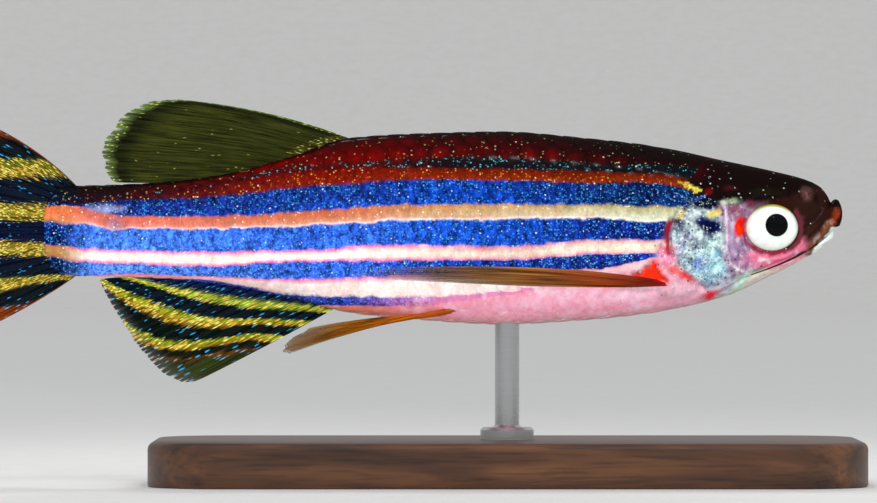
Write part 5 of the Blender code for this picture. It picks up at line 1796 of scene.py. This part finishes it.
def studio():
    """A pale floor that curves up into a wall far away all round, soft lights and the camera."""
    flat, bend, wall = FLOOR_SIZES
    bm = bmesh.new()
    edge = [bm.verts.new((flat * share / FLOOR_STEPS, 0, 0)) for share in range(FLOOR_STEPS + 1)]
    for step in range(1, FLOOR_STEPS + 1):
        turn = math.pi / 2 * step / FLOOR_STEPS
        edge.append(bm.verts.new((flat + bend * math.sin(turn), 0, bend * (1 - math.cos(turn)))))
    edge.append(bm.verts.new((flat + bend, 0, wall)))
    rim = [bm.edges.new(pair) for pair in zip(edge, edge[1:])]
    bmesh.ops.spin(
        bm, geom=[*edge, *rim], axis=(0, 0, 1), cent=(0, 0, 0), angle=math.tau, steps=96, use_merge=True
    )
    bmesh.ops.remove_doubles(bm, verts=bm.verts, dist=WELD)
    floor = mesh_object("floor", bm)
    material, tree, shader = new_material("pale_paper", Roughness=0.9, Specular_IOR_Level=0.1)
    place = add(tree, "ShaderNodeTexCoord").outputs["Object"]
    fibre = add(tree, "ShaderNodeTexNoise", {"Vector": place, "Scale": per_mm(2.0), "Detail": 4.0})
    stops = ((0.3, srgb("#ecebe7")), (0.7, srgb("#f0efec")))
    ramp = add(tree, "ShaderNodeValToRGB", {"Fac": fibre.outputs["Fac"]}, stops)
    tree.links.new(ramp.outputs["Color"], shader.inputs["Base Color"])
    floor.data.materials.append(material)

    world = bpy.data.worlds.new("studio")
    bpy.context.scene.world = world
    world.use_nodes = True
    sky = world.node_tree.nodes["Background"]
    sky.inputs["Color"].default_value = srgb("#f4f6fa")
    sky.inputs["Strength"].default_value = SKY_STRENGTH

    middle = Vector((-0.005, 0.0, AXIS_HEIGHT * MM))
    for name, place, radius, power, beam, mirrored in LAMPS:
        light = bpy.data.lights.new(name, "SPOT")
        light.shadow_soft_size = radius
        light.energy = power
        light.spot_size = math.radians(beam)
        light.spot_blend = LAMP_BLEND
        lamp = bpy.data.objects.new(name, light)
        lamp.visible_camera = False
        lamp.visible_glossy = mirrored
        lamp.location = place
        lamp.rotation_euler = (middle - Vector(place)).to_track_quat("-Z", "Y").to_euler()
        bpy.context.scene.collection.objects.link(lamp)

    camera = bpy.data.cameras.new("camera")
    camera.sensor_width = 36.0
    camera.lens = camera.sensor_width * CAMERA_AWAY / FRAME_WIDTH
    camera.clip_start, camera.clip_end = 0.02, 5.0
    viewer = bpy.data.objects.new("camera", camera)
    viewer.location = at(FRAME_CENTRE[0], -CAMERA_AWAY, FRAME_CENTRE[1])
    viewer.rotation_euler = (math.pi / 2, 0.0, 0.0)
    bpy.context.scene.collection.objects.link(viewer)
    bpy.context.scene.camera = viewer
    bpy.context.scene.view_settings.view_transform = "Standard"


def finish_piece(piece, material, slot, *nodes):
    """Gives a piece its material, its body and the nodes it stands for; its slot is not used."""
    piece.data.materials.clear()
    piece.data.materials.append(material)
    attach(piece, "root")
    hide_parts(*nodes)


def build():
    flank = fish_skin("fish_skin", 0.0)
    silver = fish_skin("gill_silver_skin", 0.15)
    finish_piece(skin(), flank, "flank_skin", "head", "lower_jaw", "trunk", "tail", "tail_stalk")
    for word, side in SIDES.items():
        finish_piece(scale_coat(word, side), flank, "flank_skin", "trunk", "tail", "tail_stalk")
        finish_piece(gill_cover(word, side), silver, "gill_silver", f"gill_cover_{word}")
    iris = eye_material()
    for word, side in SIDES.items():
        finish_piece(eye(word, side), iris, "eye_white", f"eye_{word}")
    finish_piece(barbels(), barbel_material(), "head_skin", "head")

    # Colours of the fins' painted glints: gold on the striped and paired fins, lime on the dorsal fin.
    gold, lime = ("#f8ff84", "#eca428", "#38a8e0"), ("#f0f48c", "#b8d870", "#8c9848")
    looks = {
        "tail": (STRIPED_TAIL, ("#100c04", 0.25), (0.10, 0.35, 0.80), gold, (84, 40)),
        "anal": (STRIPED_ANAL, ("#080a04", 0.25), (0.10, 0.30, 0.85), gold, (104, 24)),
        "dorsal": (OLIVE_DORSAL, ("#505828", 0.15), (0.06, 0.25, 0.90), lime, (72, 60)),
        "pectoral": (BROWN_PECTORAL, ("#2c0e04", 0.50), (0.20, 0.92, 0.50), gold, (10, 40)),
        "pelvic": (ORANGE_PELVIC, ("#8c4408", 0.60), (0.30, 0.60, 0.45), gold, (12, 60)),
    }
    striped_tail, striped_anal, olive, brown, orange = (
        fin_material(f"{word}_fin_rays", *look) for word, look in looks.items()
    )
    slots = {
        "fin_dorsal": (olive, "clear_fin"),
        "fin_anal": (striped_anal, "striped_fin"),
        "fin_tail_upper": (striped_tail, "striped_fin"),
        "fin_tail_lower": (striped_tail, "striped_fin"),
        "fin_pectoral_left": (brown, "brown_fin"),
        "fin_pectoral_right": (brown, "brown_fin"),
        "fin_pelvic_left": (orange, "brown_fin"),
        "fin_pelvic_right": (orange, "brown_fin"),
    }
    for node, piece in fins().items():
        material, slot = slots[node]
        finish_piece(piece, material, slot, node)

    base, post = stand()
    finish_piece(base, oiled_walnut(), "stand_wood", "stand_base")
    finish_piece(post, satin_steel(), "stand_steel", "stand_rod")
    studio()


build()
